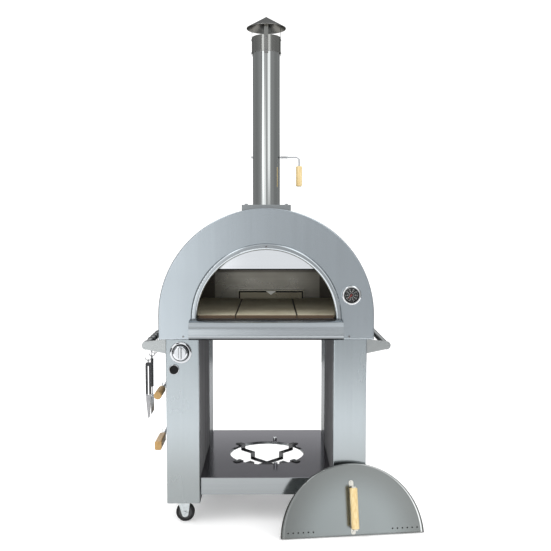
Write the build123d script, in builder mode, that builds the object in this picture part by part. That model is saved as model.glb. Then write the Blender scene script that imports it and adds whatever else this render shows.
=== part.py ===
from build123d import *
from math import cos, sin, radians, sqrt
import os

os.makedirs("parts", exist_ok=True)

# Frame: X to the right, Y towards the back, Z up, origin on the floor under the middle of the oven.

# Oven body
SHEET = 1.5
BODY_RADIUS = 409.5
BODY_DEPTH = 740
ARCH_Z = 820.5
BASE_Z = 732
FRONT = -BODY_DEPTH / 2
BACK = BODY_DEPTH / 2
PANEL_FLANGE = 15
PANEL_EDGE = 4
PROBE_HOLE = 3.5

# Mouth, apron and cooking chamber
MOUTH_Z = 811
MOUTH_RADIUS = 262
TRIM_RADIUS = 286
TRIM_PROUD = 10
TRIM_COLLAR = 40
TRIM_EDGE = 8
APRON_HALF = 288
APRON_LOW = 739
APRON_REACH = 68
APRON_TOP_EDGE = 34
APRON_LOW_EDGE = 18
LINER_RADIUS = 338
LINER_FRONT = FRONT + 40
LINER_BACK = FRONT + 690
STONE_THICK = 12
STONE_FRONT = FRONT + 20
STONE_SEAM = 117
STONE_MID = FRONT + 340
STONE_GAP = 3
STONE_EDGE = 0.8
BAFFLE_Y = FRONT + 206
BAFFLE_Z = 985
BAFFLE_FOLD = 16
BURNER_X = 18
BURNER_WIDTH = 312
BURNER_TOP = 863
BURNER_FRONT = LINER_BACK - 42
BURNER_Y = LINER_BACK - 20
BURNER_SLOT = 6
BURNER_Z = 837
TUBE_RADIUS = 10
TUBE_LENGTH = 280
FEED_Y = FRONT + 75
FEED_Z = 770
FEED_HOLE = 7
GAS_PIPE_RADIUS = 5

# Stand
LEG_IN = 256
LEG_OUT = 383
LEG_X = (LEG_IN + LEG_OUT) / 2
LEG_Z = 95
LEG_FRONT = FRONT + 2
LEG_BACK = FRONT + 662
LEG_RETURN = FRONT + 460
LEG_EDGE = 5
SHELF_TOP = 187
SHELF_LIP = 68
SHELF_FRONT = FRONT + 30
SHELF_BACK = FRONT + 684
TANK_Y = FRONT + 340
TANK_RADIUS = 160
CLAMP_X = 36
CLAMP_RADIUS = 174
CLAMP_SHANK = 3
CRADLE_ANGLES = (45, 135, 225, 315)
CRADLE_BAR = 3
CRADLE_STEP = 22
CRADLE_REST = 48

# Side rails
RAIL_X = 459
RAIL_Z = 708
RAIL_RADIUS = 12.5
RAIL_FRONT = FRONT + 12
RAIL_BACK = FRONT + 640
BRACKET = 3
BRACKET_DROP = 55

# Flue
FLUE_Y = FRONT + 150
FLUE_RADIUS = 53
FLANGE_HALF = 94
FLANGE_TOP = 1244
PIPE_BOTTOM = 1146
PIPE_TOP = 1894
DAMPER_Z = 1432
CAP_RIM_Z = 1929
CAP_APEX_Z = 1973
CAP_RADIUS = 76.5
CAP_SHEET = 2
SLEEVE_RADIUS = FLUE_RADIUS + 1.5
SLEEVE_LENGTH = 62
STRAP_THICK = 2
STRAP_WIDTH = 16
STRAP_BOTTOM = 1824
FLUE_CLEARANCE = 0.3
BOLT_SPACING = 154
ROD_RADIUS = 3
ROD_BEND_X = 129
SPRING_END = FLUE_RADIUS + 27
ROD_DROP = 34
DAMPER_GRIP_LENGTH = 80

# Controls and thermometer
KNOB_X = -325
KNOB_Z = 683
IGNITER_X = -351
IGNITER_Z = 618
STEM_RADIUS = 4
STEM_LENGTH = 30
KNOB_RADIUS = 29
IGNITER_RADIUS = 16.5
IGNITER_STEM = 10
TURN_CLEARANCE = 0.05
GAUGE_X = 322
GAUGE_Z = 902
DIAL_RADIUS = 26
DIAL_BACK = 3
GAUGE_RADIUS = 37
PROBE_LENGTH = 110

# Casters
CASTER_X = LEG_X + 4
CASTER_Y = (FRONT + 70, FRONT + 594)
WHEEL_RADIUS = 36.5
WHEEL_WIDTH = 22
TRAIL = 3
AXLE_RADIUS = 4
KINGPIN_RADIUS = 5
KINGPIN_LENGTH = 5
PLATE_THICK = 3

# Door, standing on the floor and leaning on the right pedestal
DOOR_RADIUS = 274
DOOR_DROP = 10
DOOR_DEPTH = 16
DOOR_X = 327
DOOR_AHEAD = 89
DOOR_YAW = 6.3
DOOR_LEAN = 15.5
GRIP_LOW = 29
GRIP_LENGTH = 148
GRIP_PROUD = 40
GRIP_RADIUS = 14.5

# Tools on the left side
HOOK_WIRE = 1.5
HOOK_RADIUS = RAIL_RADIUS + HOOK_WIRE + 0.4
HOOK_CURL = 12
HOOK_LOW_Z = 657
TOOL_X = -RAIL_X + HOOK_RADIUS - HOOK_CURL
GRIP_TOP_Z = HOOK_LOW_Z - HOOK_CURL - 10
TONGS_Y = FRONT + 45
TURNER_Y = FRONT + 135
SPARE_HOOK_Y = (FRONT + 200, FRONT + 255, FRONT + 310)
SIDE_TOOL_X = -416
PEEL_Z = 515
BRUSH_Z = 321
SIDE_TOOL_FRONT = FRONT + 5
RACK_Y = (FRONT + 200, FRONT + 380)
PEEL_HANDLE = 115
BRUSH_HANDLE = 120
SHAFT_RADIUS = 5


def front_plane(y):
    """Upright plane facing the front: local x is X, local y is Z."""
    return Plane(origin=(0, y, 0), x_dir=(1, 0, 0), z_dir=(0, -1, 0))


def radial_plane(angle, x=0, y=0):
    """Upright plane through a vertical axis at (x, y): local x runs outwards, local y is Z."""
    a = radians(angle)
    return Plane(origin=(x, y, 0), x_dir=(cos(a), sin(a), 0), z_dir=(sin(a), -cos(a), 0))


def arch_face(radius, base_z):
    """Half circle on straight sides, as a flat face in front-view coordinates."""
    with BuildSketch(Plane.XY) as arch:
        with BuildLine():
            Line((-radius, ARCH_Z), (-radius, base_z))
            Line((-radius, base_z), (radius, base_z))
            Line((radius, base_z), (radius, ARCH_Z))
            ThreePointArc((radius, ARCH_Z), (0, ARCH_Z + radius), (-radius, ARCH_Z))
        make_face()
    return arch.sketch


def mouth_face(radius):
    """The half-round mouth opening, as a flat face in front-view coordinates."""
    with BuildSketch(Plane.XY) as mouth:
        with BuildLine():
            Line((-radius, MOUTH_Z), (radius, MOUTH_Z))
            ThreePointArc((radius, MOUTH_Z), (0, MOUTH_Z + radius), (-radius, MOUTH_Z))
        make_face()
    return mouth.sketch


def save(builder, name):
    """Label a finished piece and write its STEP file."""
    builder.part.label = name
    export_step(builder.part, f"parts/{name}.step")


# ---------------------------------------------------------------- oven body

def make_outer_housing():
    """Arched outer skin between the front and back panels, with the flue hole."""
    with BuildPart() as housing:
        with BuildSketch(front_plane(FRONT + PANEL_FLANGE)):
            add(arch_face(BODY_RADIUS, BASE_Z))
            add(arch_face(BODY_RADIUS - SHEET, BASE_Z), mode=Mode.SUBTRACT)
        extrude(amount=-(BODY_DEPTH - PANEL_FLANGE - SHEET))
        with Locations((0, FLUE_Y, ARCH_Z + BODY_RADIUS)):
            Cylinder(FLUE_RADIUS + FLUE_CLEARANCE, FLUE_RADIUS, mode=Mode.SUBTRACT)
    save(housing, "outer_housing")


def make_front_panel():
    """Front face with its mouth, folded back all round in a soft edge."""
    with BuildPart() as panel:
        with BuildSketch(front_plane(FRONT)):
            add(arch_face(BODY_RADIUS, BASE_Z))
        extrude(amount=-PANEL_FLANGE)
        fillet(panel.faces().sort_by(Axis.Y)[0].edges(), radius=PANEL_EDGE)
        with BuildSketch(front_plane(FRONT + SHEET)):
            add(arch_face(BODY_RADIUS - PANEL_EDGE, BASE_Z + PANEL_EDGE))
        extrude(amount=-PANEL_FLANGE, mode=Mode.SUBTRACT)
        with BuildSketch(front_plane(FRONT + PANEL_EDGE)):
            add(arch_face(BODY_RADIUS - SHEET, BASE_Z + SHEET))
        extrude(amount=-PANEL_FLANGE, mode=Mode.SUBTRACT)
        with BuildSketch(front_plane(FRONT - 1)):
            add(mouth_face(MOUTH_RADIUS + SHEET))
            with Locations((GAUGE_X, GAUGE_Z)):
                Circle(PROBE_HOLE)
        extrude(amount=-PANEL_FLANGE, mode=Mode.SUBTRACT)
    save(panel, "front_panel")


def make_back_panel():
    """Plain arched plate that closes the back."""
    with BuildPart() as panel:
        with BuildSketch(front_plane(BACK - SHEET)):
            add(arch_face(BODY_RADIUS, BASE_Z))
        extrude(amount=-SHEET)
    save(panel, "back_panel")


def make_base_pan():
    """Floor of the housing, with the hole for the gas pipe."""
    depth = BODY_DEPTH - PANEL_FLANGE - SHEET
    with BuildPart() as pan:
        with BuildSketch(Plane.XY.offset(BASE_Z)):
            with Locations((0, FRONT + PANEL_FLANGE + depth / 2)):
                Rectangle(2 * (BODY_RADIUS - SHEET), depth)
            with Locations((KNOB_X, FEED_Y)):
                Circle(FEED_HOLE, mode=Mode.SUBTRACT)
        extrude(amount=SHEET)
    save(pan, "base_pan")


def make_mouth_trim():
    """Rolled ring round the mouth, with a collar that lines the opening."""
    middle = (MOUTH_RADIUS + TRIM_RADIUS) / 2
    with BuildPart() as trim:
        with BuildSketch(Plane.XY.offset(MOUTH_Z)) as profile:
            with Locations((middle, FRONT - TRIM_PROUD / 2)):
                Rectangle(TRIM_RADIUS - MOUTH_RADIUS, TRIM_PROUD)
            fillet(profile.vertices().group_by(Axis.Y)[0], radius=TRIM_EDGE)
            with Locations((MOUTH_RADIUS + SHEET / 2, FRONT + TRIM_COLLAR / 2)):
                Rectangle(SHEET, TRIM_COLLAR)
        revolve(axis=Axis((0, 0, MOUTH_Z), (0, -1, 0)), revolution_arc=180)
    save(trim, "mouth_trim")


def make_landing_apron():
    """Bullnose landing under the mouth, a hollow folded sheet open at the back."""
    height = MOUTH_Z - APRON_LOW
    with BuildPart() as apron:
        with Locations((0, FRONT - APRON_REACH / 2, APRON_LOW + height / 2)):
            Box(2 * APRON_HALF, APRON_REACH, height)
        nose = apron.faces().sort_by(Axis.Y)[0].edges().filter_by(Axis.X).sort_by(Axis.Z)
        fillet(nose[-1], radius=APRON_TOP_EDGE)
        nose = apron.faces().sort_by(Axis.Y)[0].edges().filter_by(Axis.X).sort_by(Axis.Z)
        fillet(nose[0], radius=APRON_LOW_EDGE)
        offset(amount=-SHEET, openings=apron.faces().sort_by(Axis.Y)[-1])
    save(apron, "landing_apron")


# ---------------------------------------------------------------- cooking chamber

def make_cavity_liner():
    """Inner dome with its front wall round the mouth collar."""
    outer = LINER_RADIUS + SHEET
    with BuildPart() as liner:
        with BuildSketch(front_plane(LINER_FRONT)):
            add(arch_face(outer, MOUTH_Z))
        extrude(amount=-(LINER_BACK - LINER_FRONT))
        with BuildSketch(front_plane(LINER_FRONT + SHEET)):
            add(arch_face(LINER_RADIUS, MOUTH_Z))
        extrude(amount=-(LINER_BACK - LINER_FRONT), mode=Mode.SUBTRACT)
        with BuildSketch(front_plane(LINER_FRONT - 1)):
            add(mouth_face(MOUTH_RADIUS + SHEET))
            with Locations((GAUGE_X, GAUGE_Z)):
                Circle(PROBE_HOLE)
        extrude(amount=-3 * SHEET, mode=Mode.SUBTRACT)
        with Locations((0, FLUE_Y, ARCH_Z + LINER_RADIUS)):
            Cylinder(FLUE_RADIUS + FLUE_CLEARANCE, FLUE_RADIUS, mode=Mode.SUBTRACT)
    save(liner, "cavity_liner")


def make_cavity_back_wall():
    """Plate that closes the back of the cooking chamber."""
    with BuildPart() as wall:
        with BuildSketch(front_plane(LINER_BACK)):
            add(arch_face(LINER_RADIUS + SHEET, MOUTH_Z))
        extrude(amount=-SHEET)
    save(wall, "cavity_back_wall")


def make_insulation_blanket():
    """Ceramic fibre over the dome and behind the back wall."""
    outer = BODY_RADIUS - SHEET
    inner = LINER_RADIUS + SHEET
    floor_z = BASE_Z + SHEET
    with BuildPart() as blanket:
        with BuildSketch(front_plane(LINER_FRONT)):
            add(arch_face(outer, floor_z))
            add(arch_face(inner, floor_z), mode=Mode.SUBTRACT)
        extrude(amount=-(LINER_BACK - LINER_FRONT))
        with BuildSketch(front_plane(LINER_BACK + SHEET)):
            add(arch_face(outer, floor_z))
        extrude(amount=-(BACK - LINER_BACK - 2 * SHEET))
        with Locations((0, FLUE_Y, ARCH_Z + BODY_RADIUS)):
            Cylinder(FLUE_RADIUS + FLUE_CLEARANCE, 4 * FLUE_RADIUS, mode=Mode.SUBTRACT)
    save(blanket, "insulation_blanket")


def make_smoke_baffle():
    """Bright plate hung across the dome behind the flue, with a folded lower edge."""
    with BuildPart() as baffle:
        with BuildSketch(front_plane(BAFFLE_Y)):
            with Locations((0, ARCH_Z)):
                Circle(LINER_RADIUS)
            with Locations((0, BAFFLE_Z)):
                Rectangle(2 * LINER_RADIUS, LINER_RADIUS, align=(Align.CENTER, Align.MIN),
                          mode=Mode.INTERSECT)
        extrude(amount=-SHEET)
        half = sqrt(LINER_RADIUS ** 2 - (BAFFLE_Z - ARCH_Z) ** 2) - 2 * SHEET
        with Locations((0, BAFFLE_Y + BAFFLE_FOLD / 2, BAFFLE_Z + SHEET / 2)):
            Box(2 * half, BAFFLE_FOLD, SHEET)
    save(baffle, "smoke_baffle")


def make_hearth_tray():
    """Deck under the stones on two folded legs, with the hole for the burner feed."""
    outer = LINER_RADIUS + SHEET
    depth = LINER_BACK - FRONT - PANEL_EDGE
    height = MOUTH_Z - BASE_Z - SHEET
    with BuildPart() as tray:
        with Locations((0, FRONT + PANEL_EDGE + depth / 2, MOUTH_Z - height / 2)):
            Box(2 * outer, depth, height)
            Box(2 * LINER_RADIUS, depth, height, mode=Mode.SUBTRACT)
        with Locations((0, FRONT + PANEL_EDGE + depth / 2, MOUTH_Z - SHEET / 2)):
            Box(2 * outer, depth, SHEET)
        with Locations((BURNER_X, BURNER_Y, MOUTH_Z)):
            Cylinder(FEED_HOLE, 4 * SHEET, mode=Mode.SUBTRACT)
    save(tray, "hearth_tray")


def make_hearth_stones():
    """Six loose stones, three across and two deep, cut round the mouth and the burner box."""
    edge = LINER_RADIUS - 2
    clearance = 8
    notch = edge - MOUTH_RADIUS + clearance
    notch_length = 3 * clearance
    hood_gap = 1
    with BuildPart() as stones:
        with BuildSketch(Plane.XY.offset(MOUTH_Z)):
            for y0, y1 in ((STONE_FRONT, STONE_MID), (STONE_MID, LINER_BACK - 1)):
                for x0, x1 in ((-edge, -STONE_SEAM), (-STONE_SEAM, STONE_SEAM), (STONE_SEAM, edge)):
                    with Locations(((x0 + x1) / 2, (y0 + y1) / 2)):
                        Rectangle(x1 - x0 - STONE_GAP, y1 - y0 - STONE_GAP)
        extrude(amount=STONE_THICK)
        fillet(stones.faces().group_by(Axis.Z)[-1].edges(), radius=STONE_EDGE)
        for side in (-1, 1):
            with Locations((side * (edge + clearance / 2 - notch / 2), LINER_FRONT - clearance, MOUTH_Z)):
                Box(notch, notch_length, 3 * STONE_THICK, mode=Mode.SUBTRACT)
        with Locations((BURNER_X, (BURNER_FRONT + LINER_BACK) / 2, MOUTH_Z)):
            Box(BURNER_WIDTH + 2 * hood_gap, LINER_BACK - BURNER_FRONT + 2 * hood_gap, 3 * STONE_THICK,
                mode=Mode.SUBTRACT)
    save(stones, "hearth_stones")


def make_burner_box():
    """Steel hood over the burner with a flame slot round its face and a pointed tab at the top."""
    depth = LINER_BACK - BURNER_FRONT
    height = BURNER_TOP - MOUTH_Z
    margin = 5
    slot_top = BURNER_TOP - margin
    slot_half = BURNER_WIDTH / 2 - margin
    slot_drop = 34
    tab_half = 27
    tab_top = slot_top + 2
    tab_drop = 20
    with BuildPart() as hood:
        with Locations((BURNER_X, BURNER_FRONT + depth / 2, MOUTH_Z + height / 2)):
            Box(BURNER_WIDTH, depth, height)
        offset(amount=-SHEET, openings=hood.faces().sort_by(Axis.Z)[0])
        with BuildSketch(front_plane(BURNER_FRONT - 1)):
            with Locations((BURNER_X, slot_top - slot_drop / 2)):
                Rectangle(2 * slot_half, slot_drop)
            with Locations((BURNER_X, slot_top - BURNER_SLOT - slot_drop / 2)):
                Rectangle(2 * (slot_half - BURNER_SLOT), slot_drop, mode=Mode.SUBTRACT)
        extrude(amount=-2 * SHEET, mode=Mode.SUBTRACT)
        with BuildSketch(front_plane(BURNER_FRONT)):
            with BuildLine():
                Polyline((BURNER_X - tab_half, tab_top), (BURNER_X + tab_half, tab_top),
                         (BURNER_X, tab_top - tab_drop), (BURNER_X - tab_half, tab_top))
            make_face()
        extrude(amount=SHEET)
    save(hood, "burner_box")


def make_burner_tube():
    """Ported burner tube along the hood, with capped ends."""
    ports = 11
    port_step = 24
    port_radius = 1.6
    with BuildPart() as tube:
        with Locations((BURNER_X, BURNER_Y, BURNER_Z)):
            Cylinder(TUBE_RADIUS, TUBE_LENGTH, rotation=(0, 90, 0))
            Cylinder(TUBE_RADIUS - SHEET, TUBE_LENGTH - 2 * SHEET, rotation=(0, 90, 0), mode=Mode.SUBTRACT)
        with BuildSketch(front_plane(BURNER_Y - TUBE_RADIUS - SHEET)):
            with Locations((BURNER_X, BURNER_Z)):
                with GridLocations(port_step, 1, ports, 1):
                    Circle(port_radius)
        extrude(amount=-TUBE_RADIUS, mode=Mode.SUBTRACT)
    save(tube, "burner_tube")


def make_gas_pipe():
    """Feed pipe from the valve, up under the hearth and into the burner."""
    start_z = KNOB_Z + 15
    bend = 22
    with BuildPart() as pipe:
        with BuildLine():
            FilletPolyline((KNOB_X, FEED_Y, start_z), (KNOB_X, FEED_Y, FEED_Z),
                           (KNOB_X, BURNER_Y, FEED_Z), (BURNER_X, BURNER_Y, FEED_Z),
                           (BURNER_X, BURNER_Y, BURNER_Z - TUBE_RADIUS), radius=bend)
        with BuildSketch(Plane.XY.offset(start_z)):
            with Locations((KNOB_X, FEED_Y)):
                Circle(GAS_PIPE_RADIUS)
        sweep()
    save(pipe, "gas_pipe")


def make_gas_valve():
    """Valve body behind the left pedestal's face, with its gas inlet nipple."""
    face_y = LEG_FRONT + SHEET
    height = 30
    length = 60
    nipple_length = 18
    nipple_radius = 8
    stem_bore = 40
    with BuildPart() as valve:
        with Locations((KNOB_X, face_y + length / 2, KNOB_Z)):
            Box(34, length, height)
        with Locations((KNOB_X, FEED_Y, KNOB_Z)):
            Box(26, 30, height)
        with Locations((KNOB_X, FEED_Y, KNOB_Z - (height + nipple_length) / 2)):
            Cylinder(nipple_radius, nipple_length)
        fillet(valve.edges().filter_by(Axis.Y), radius=3)
        with BuildSketch(front_plane(LEG_FRONT - 1)):
            with Locations((KNOB_X, KNOB_Z)):
                Circle(STEM_RADIUS + TURN_CLEARANCE)
        extrude(amount=-stem_bore, mode=Mode.SUBTRACT)
    save(valve, "gas_valve")


# ---------------------------------------------------------------- flue

def make_flue_flange():
    """Square skirted foot of the chimney, cut to sit on the round roof."""
    skirt = 60
    corner = 4
    with BuildPart() as flange:
        with Locations((0, FLUE_Y, FLANGE_TOP)):
            Box(2 * FLANGE_HALF, 2 * FLANGE_HALF, skirt, align=(Align.CENTER, Align.CENTER, Align.MAX))
        fillet(flange.edges().filter_by(Axis.Z), radius=corner)
        with Locations((0, FLUE_Y, FLANGE_TOP - SHEET)):
            Box(2 * (FLANGE_HALF - SHEET), 2 * (FLANGE_HALF - SHEET), skirt,
                align=(Align.CENTER, Align.CENTER, Align.MAX), mode=Mode.SUBTRACT)
        with BuildSketch(front_plane(FLUE_Y - 2 * FLANGE_HALF)):
            with Locations((0, ARCH_Z)):
                Circle(BODY_RADIUS)
        extrude(amount=-4 * FLANGE_HALF, mode=Mode.SUBTRACT)
        with Locations((0, FLUE_Y, FLANGE_TOP)):
            Cylinder(FLUE_RADIUS, skirt / 3, mode=Mode.SUBTRACT)
    save(flange, "flue_flange")


def make_flange_bolts():
    """Four hexagon bolts in the corners of the flange."""
    radius = 6
    height = 4.5
    with BuildPart() as bolts:
        with BuildSketch(Plane.XY.offset(FLANGE_TOP)):
            with Locations((0, FLUE_Y)):
                with GridLocations(BOLT_SPACING, BOLT_SPACING, 2, 2):
                    RegularPolygon(radius, 6)
        extrude(amount=height)
    save(bolts, "flange_bolts")


def make_chimney_pipe():
    """Straight flue pipe with two bores for the damper rod."""
    with BuildPart() as pipe:
        with BuildSketch(Plane.XY.offset(PIPE_BOTTOM)):
            with Locations((0, FLUE_Y)):
                Circle(FLUE_RADIUS)
                Circle(FLUE_RADIUS - SHEET, mode=Mode.SUBTRACT)
        extrude(amount=PIPE_TOP - PIPE_BOTTOM)
        with Locations((0, FLUE_Y, DAMPER_Z)):
            Cylinder(ROD_RADIUS + TURN_CLEARANCE, 3 * FLUE_RADIUS, rotation=(0, 90, 0), mode=Mode.SUBTRACT)
    save(pipe, "chimney_pipe")


def make_cap_straps():
    """Sleeve round the top of the pipe and the four straps that carry the cone."""
    slope = (CAP_APEX_Z - CAP_RIM_Z) / CAP_RADIUS
    outer = SLEEVE_RADIUS + STRAP_THICK
    top = CAP_RIM_Z + (CAP_RADIUS - SLEEVE_RADIUS) * slope - CAP_SHEET - 1
    with BuildPart() as straps:
        with BuildSketch(Plane.XY.offset(PIPE_TOP - SLEEVE_LENGTH)):
            with Locations((0, FLUE_Y)):
                Circle(SLEEVE_RADIUS)
                Circle(FLUE_RADIUS, mode=Mode.SUBTRACT)
        extrude(amount=SLEEVE_LENGTH)
        for angle in (0, 90, 180, 270):
            with BuildSketch(radial_plane(angle, 0, FLUE_Y)):
                with BuildLine():
                    Polyline((SLEEVE_RADIUS, STRAP_BOTTOM), (outer, STRAP_BOTTOM),
                             (outer, top - STRAP_THICK * slope), (SLEEVE_RADIUS, top),
                             (SLEEVE_RADIUS, STRAP_BOTTOM))
                make_face()
            extrude(amount=STRAP_WIDTH / 2, both=True)
    save(straps, "cap_straps")


def make_cap_cone():
    """Shallow sheet cone over the straps, hollow below."""
    with BuildPart() as cone:
        with BuildSketch(radial_plane(0, 0, FLUE_Y)):
            with BuildLine():
                Polyline((CAP_RADIUS, CAP_RIM_Z), (0, CAP_APEX_Z), (0, CAP_APEX_Z - CAP_SHEET),
                         (CAP_RADIUS, CAP_RIM_Z - CAP_SHEET), (CAP_RADIUS, CAP_RIM_Z))
            make_face()
        revolve(axis=Axis((0, FLUE_Y, 0), (0, 0, 1)))
    save(cone, "cap_cone")


def make_damper_rod():
    """Rod through the pipe, bent down outside it, with three washers."""
    start = FLUE_RADIUS + 7
    bend = 12
    washer = 2
    with BuildPart() as rod:
        with BuildLine():
            FilletPolyline((-start, FLUE_Y, DAMPER_Z), (ROD_BEND_X, FLUE_Y, DAMPER_Z),
                           (ROD_BEND_X, FLUE_Y, DAMPER_Z - ROD_DROP), radius=bend)
        with BuildSketch(Plane(origin=(-start, FLUE_Y, DAMPER_Z), z_dir=(1, 0, 0))):
            Circle(ROD_RADIUS)
        sweep()
        for x in (washer - start, FLUE_RADIUS + 4, SPRING_END):
            with BuildSketch(Plane(origin=(x, FLUE_Y, DAMPER_Z), z_dir=(1, 0, 0))):
                Circle(2 * ROD_RADIUS)
            extrude(amount=washer)
    save(rod, "damper_rod")


def make_damper_plate():
    """Round butterfly plate, edge on when open, with a rolled eye for the rod."""
    rim_gap = 4
    eye_length = 80
    with BuildPart() as plate:
        with BuildSketch(front_plane(FLUE_Y + SHEET / 2)):
            with Locations((0, DAMPER_Z)):
                Circle(FLUE_RADIUS - rim_gap)
        extrude(amount=SHEET)
        with Locations((0, FLUE_Y, DAMPER_Z)):
            Cylinder(ROD_RADIUS + 2, eye_length, rotation=(0, 90, 0))
            Cylinder(ROD_RADIUS, 2 * FLUE_RADIUS, rotation=(0, 90, 0), mode=Mode.SUBTRACT)
    save(plate, "damper_plate")


def make_damper_spring():
    """Compression spring between the two outer washers of the rod."""
    wire = 0.7
    pitch = 3.8
    length = 17.8
    coil_radius = 4.2
    start = (FLUE_RADIUS + 7.4, FLUE_Y, DAMPER_Z)
    with BuildPart() as spring:
        with BuildLine() as coil:
            Helix(pitch=pitch, height=length, radius=coil_radius, center=start, direction=(1, 0, 0))
        with BuildSketch(Plane(origin=coil.line @ 0, z_dir=coil.line % 0)):
            Circle(wire)
        sweep(is_frenet=True)
    save(spring, "damper_spring")


def make_damper_grip():
    """Turned wooden grip on the hanging end of the rod."""
    radius = 12.5
    rounding = 5
    with BuildPart() as grip:
        with Locations((ROD_BEND_X, FLUE_Y, DAMPER_Z - ROD_DROP - DAMPER_GRIP_LENGTH / 2)):
            Cylinder(radius, DAMPER_GRIP_LENGTH)
        fillet(grip.edges(), radius=rounding)
    save(grip, "damper_grip")


# ---------------------------------------------------------------- stand

def make_pedestal(side, name):
    """Leg box: face, outer side and back in one sheet, with a return on the inner side."""
    width = LEG_OUT - LEG_IN
    depth = LEG_BACK - LEG_FRONT
    middle = (LEG_FRONT + LEG_BACK) / 2
    opening = LEG_RETURN - LEG_FRONT - PANEL_FLANGE
    with BuildPart() as leg:
        with BuildSketch(Plane.XY.offset(LEG_Z)):
            with Locations((side * LEG_X, middle)):
                RectangleRounded(width, depth, LEG_EDGE)
        extrude(amount=BASE_Z - LEG_Z)
        with BuildSketch(Plane.XY.offset(LEG_Z + SHEET)):
            with Locations((side * LEG_X, middle)):
                RectangleRounded(width - 2 * SHEET, depth - 2 * SHEET, LEG_EDGE - SHEET)
        extrude(amount=BASE_Z - LEG_Z, mode=Mode.SUBTRACT)
        with Locations((side * LEG_IN, LEG_FRONT + PANEL_FLANGE + opening / 2, BASE_Z)):
            Box(2 * SHEET + 1, opening, 2 * (BASE_Z - LEG_Z - SHEET), mode=Mode.SUBTRACT)
        if side < 0:
            with BuildSketch(front_plane(LEG_FRONT - 1)):
                with Locations((KNOB_X, KNOB_Z)):
                    Circle(STEM_RADIUS + 1)
                with Locations((IGNITER_X, IGNITER_Z)):
                    Circle(IGNITER_STEM + 2)
            extrude(amount=-LEG_EDGE, mode=Mode.SUBTRACT)
    save(leg, name)


def make_inner_side_panels():
    """Flat panels that close the inner sides of both pedestals, behind the folded returns."""
    overlap = 20
    length = LEG_RETURN - LEG_FRONT - PANEL_FLANGE + overlap
    middle = (LEG_FRONT + PANEL_FLANGE + LEG_RETURN) / 2
    with BuildPart() as panels:
        for side in (-1, 1):
            with Locations((side * (LEG_IN + 1.5 * SHEET), middle, (LEG_Z + BASE_Z + SHEET) / 2)):
                Box(SHEET, length, BASE_Z - LEG_Z - SHEET)
    save(panels, "inner_side_panels")


def make_shelf_pan():
    """Bottom shelf with turned-down lips and a collared hole for a gas bottle."""
    depth = SHELF_BACK - SHELF_FRONT
    collar = 12
    with BuildPart() as shelf:
        with Locations((0, (SHELF_FRONT + SHELF_BACK) / 2, SHELF_TOP - SHELF_LIP / 2)):
            Box(2 * LEG_IN, depth, SHELF_LIP)
        fillet(shelf.faces().sort_by(Axis.Z)[-1].edges().filter_by(Axis.X), radius=2 * SHEET)
        offset(amount=-SHEET, openings=shelf.faces().sort_by(Axis.Z)[0])
        with Locations((0, TANK_Y, SHELF_TOP - collar / 2)):
            Cylinder(TANK_RADIUS, collar)
            Cylinder(TANK_RADIUS - SHEET, 2 * collar, mode=Mode.SUBTRACT)
        with Locations((CLAMP_X, TANK_Y, SHELF_TOP)):
            with GridLocations(1, 2 * CLAMP_RADIUS, 1, 2):
                Cylinder(CLAMP_SHANK + 0.1, collar, mode=Mode.SUBTRACT)
    save(shelf, "shelf_pan")


def make_tank_cradle():
    """Four stepped flat bars that hang in the shelf hole and carry the bottle."""
    top = SHELF_TOP + CRADLE_BAR / 2
    rest_radius = 88
    tail = 25
    step_gap = 10
    half_width = 12
    with BuildPart() as cradle:
        for angle in CRADLE_ANGLES:
            with BuildSketch(radial_plane(angle, 0, TANK_Y)):
                with BuildLine() as steps:
                    Polyline((TANK_RADIUS + tail, top), (TANK_RADIUS - step_gap, top),
                             (TANK_RADIUS - step_gap, top - CRADLE_STEP), (rest_radius, top - CRADLE_STEP),
                             (rest_radius, top - CRADLE_REST), (0, top - CRADLE_REST))
                trace(steps.edges(), line_width=CRADLE_BAR)
            extrude(amount=half_width, both=True)
    save(cradle, "tank_cradle")


def make_tank_clamp_screws():
    """Two knurled thumb screws in the shelf, in front of and behind the hole."""
    head = 14
    head_radius = 8
    shank = 8
    with BuildPart() as screws:
        with Locations((CLAMP_X, TANK_Y, 0)):
            with GridLocations(1, 2 * CLAMP_RADIUS, 1, 2):
                with Locations((0, 0, SHELF_TOP + head / 2)):
                    Cylinder(head_radius, head)
                with Locations((0, 0, SHELF_TOP - shank / 2)):
                    Cylinder(CLAMP_SHANK, shank)
    save(screws, "tank_clamp_screws")


def make_rail_brackets():
    """Four round-nosed bracket plates on the outer sides of the pedestals."""
    nose = RAIL_RADIUS + 3.5
    tangent = 3
    with BuildPart() as brackets:
        for y in (RAIL_FRONT, RAIL_BACK):
            with BuildSketch(front_plane(y)):
                for side in (-1, 1):
                    with BuildLine():
                        Polyline((side * LEG_OUT, BASE_Z - BRACKET_DROP), (side * LEG_OUT, BASE_Z),
                                 (side * (RAIL_X + tangent), RAIL_Z + nose - 0.5),
                                 (side * (RAIL_X - tangent), RAIL_Z - nose + 0.5),
                                 (side * LEG_OUT, BASE_Z - BRACKET_DROP))
                    make_face()
                    with Locations((side * RAIL_X, RAIL_Z)):
                        Circle(nose)
            extrude(amount=-BRACKET)
    save(brackets, "rail_brackets")


def make_side_rails():
    """Round tubular rails between the brackets."""
    length = RAIL_BACK - RAIL_FRONT - BRACKET
    with BuildPart() as rails:
        with BuildSketch(front_plane(RAIL_FRONT + BRACKET)):
            with Locations((-RAIL_X, RAIL_Z), (RAIL_X, RAIL_Z)):
                Circle(RAIL_RADIUS)
                Circle(RAIL_RADIUS - SHEET, mode=Mode.SUBTRACT)
        extrude(amount=-length)
    save(rails, "side_rails")


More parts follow.
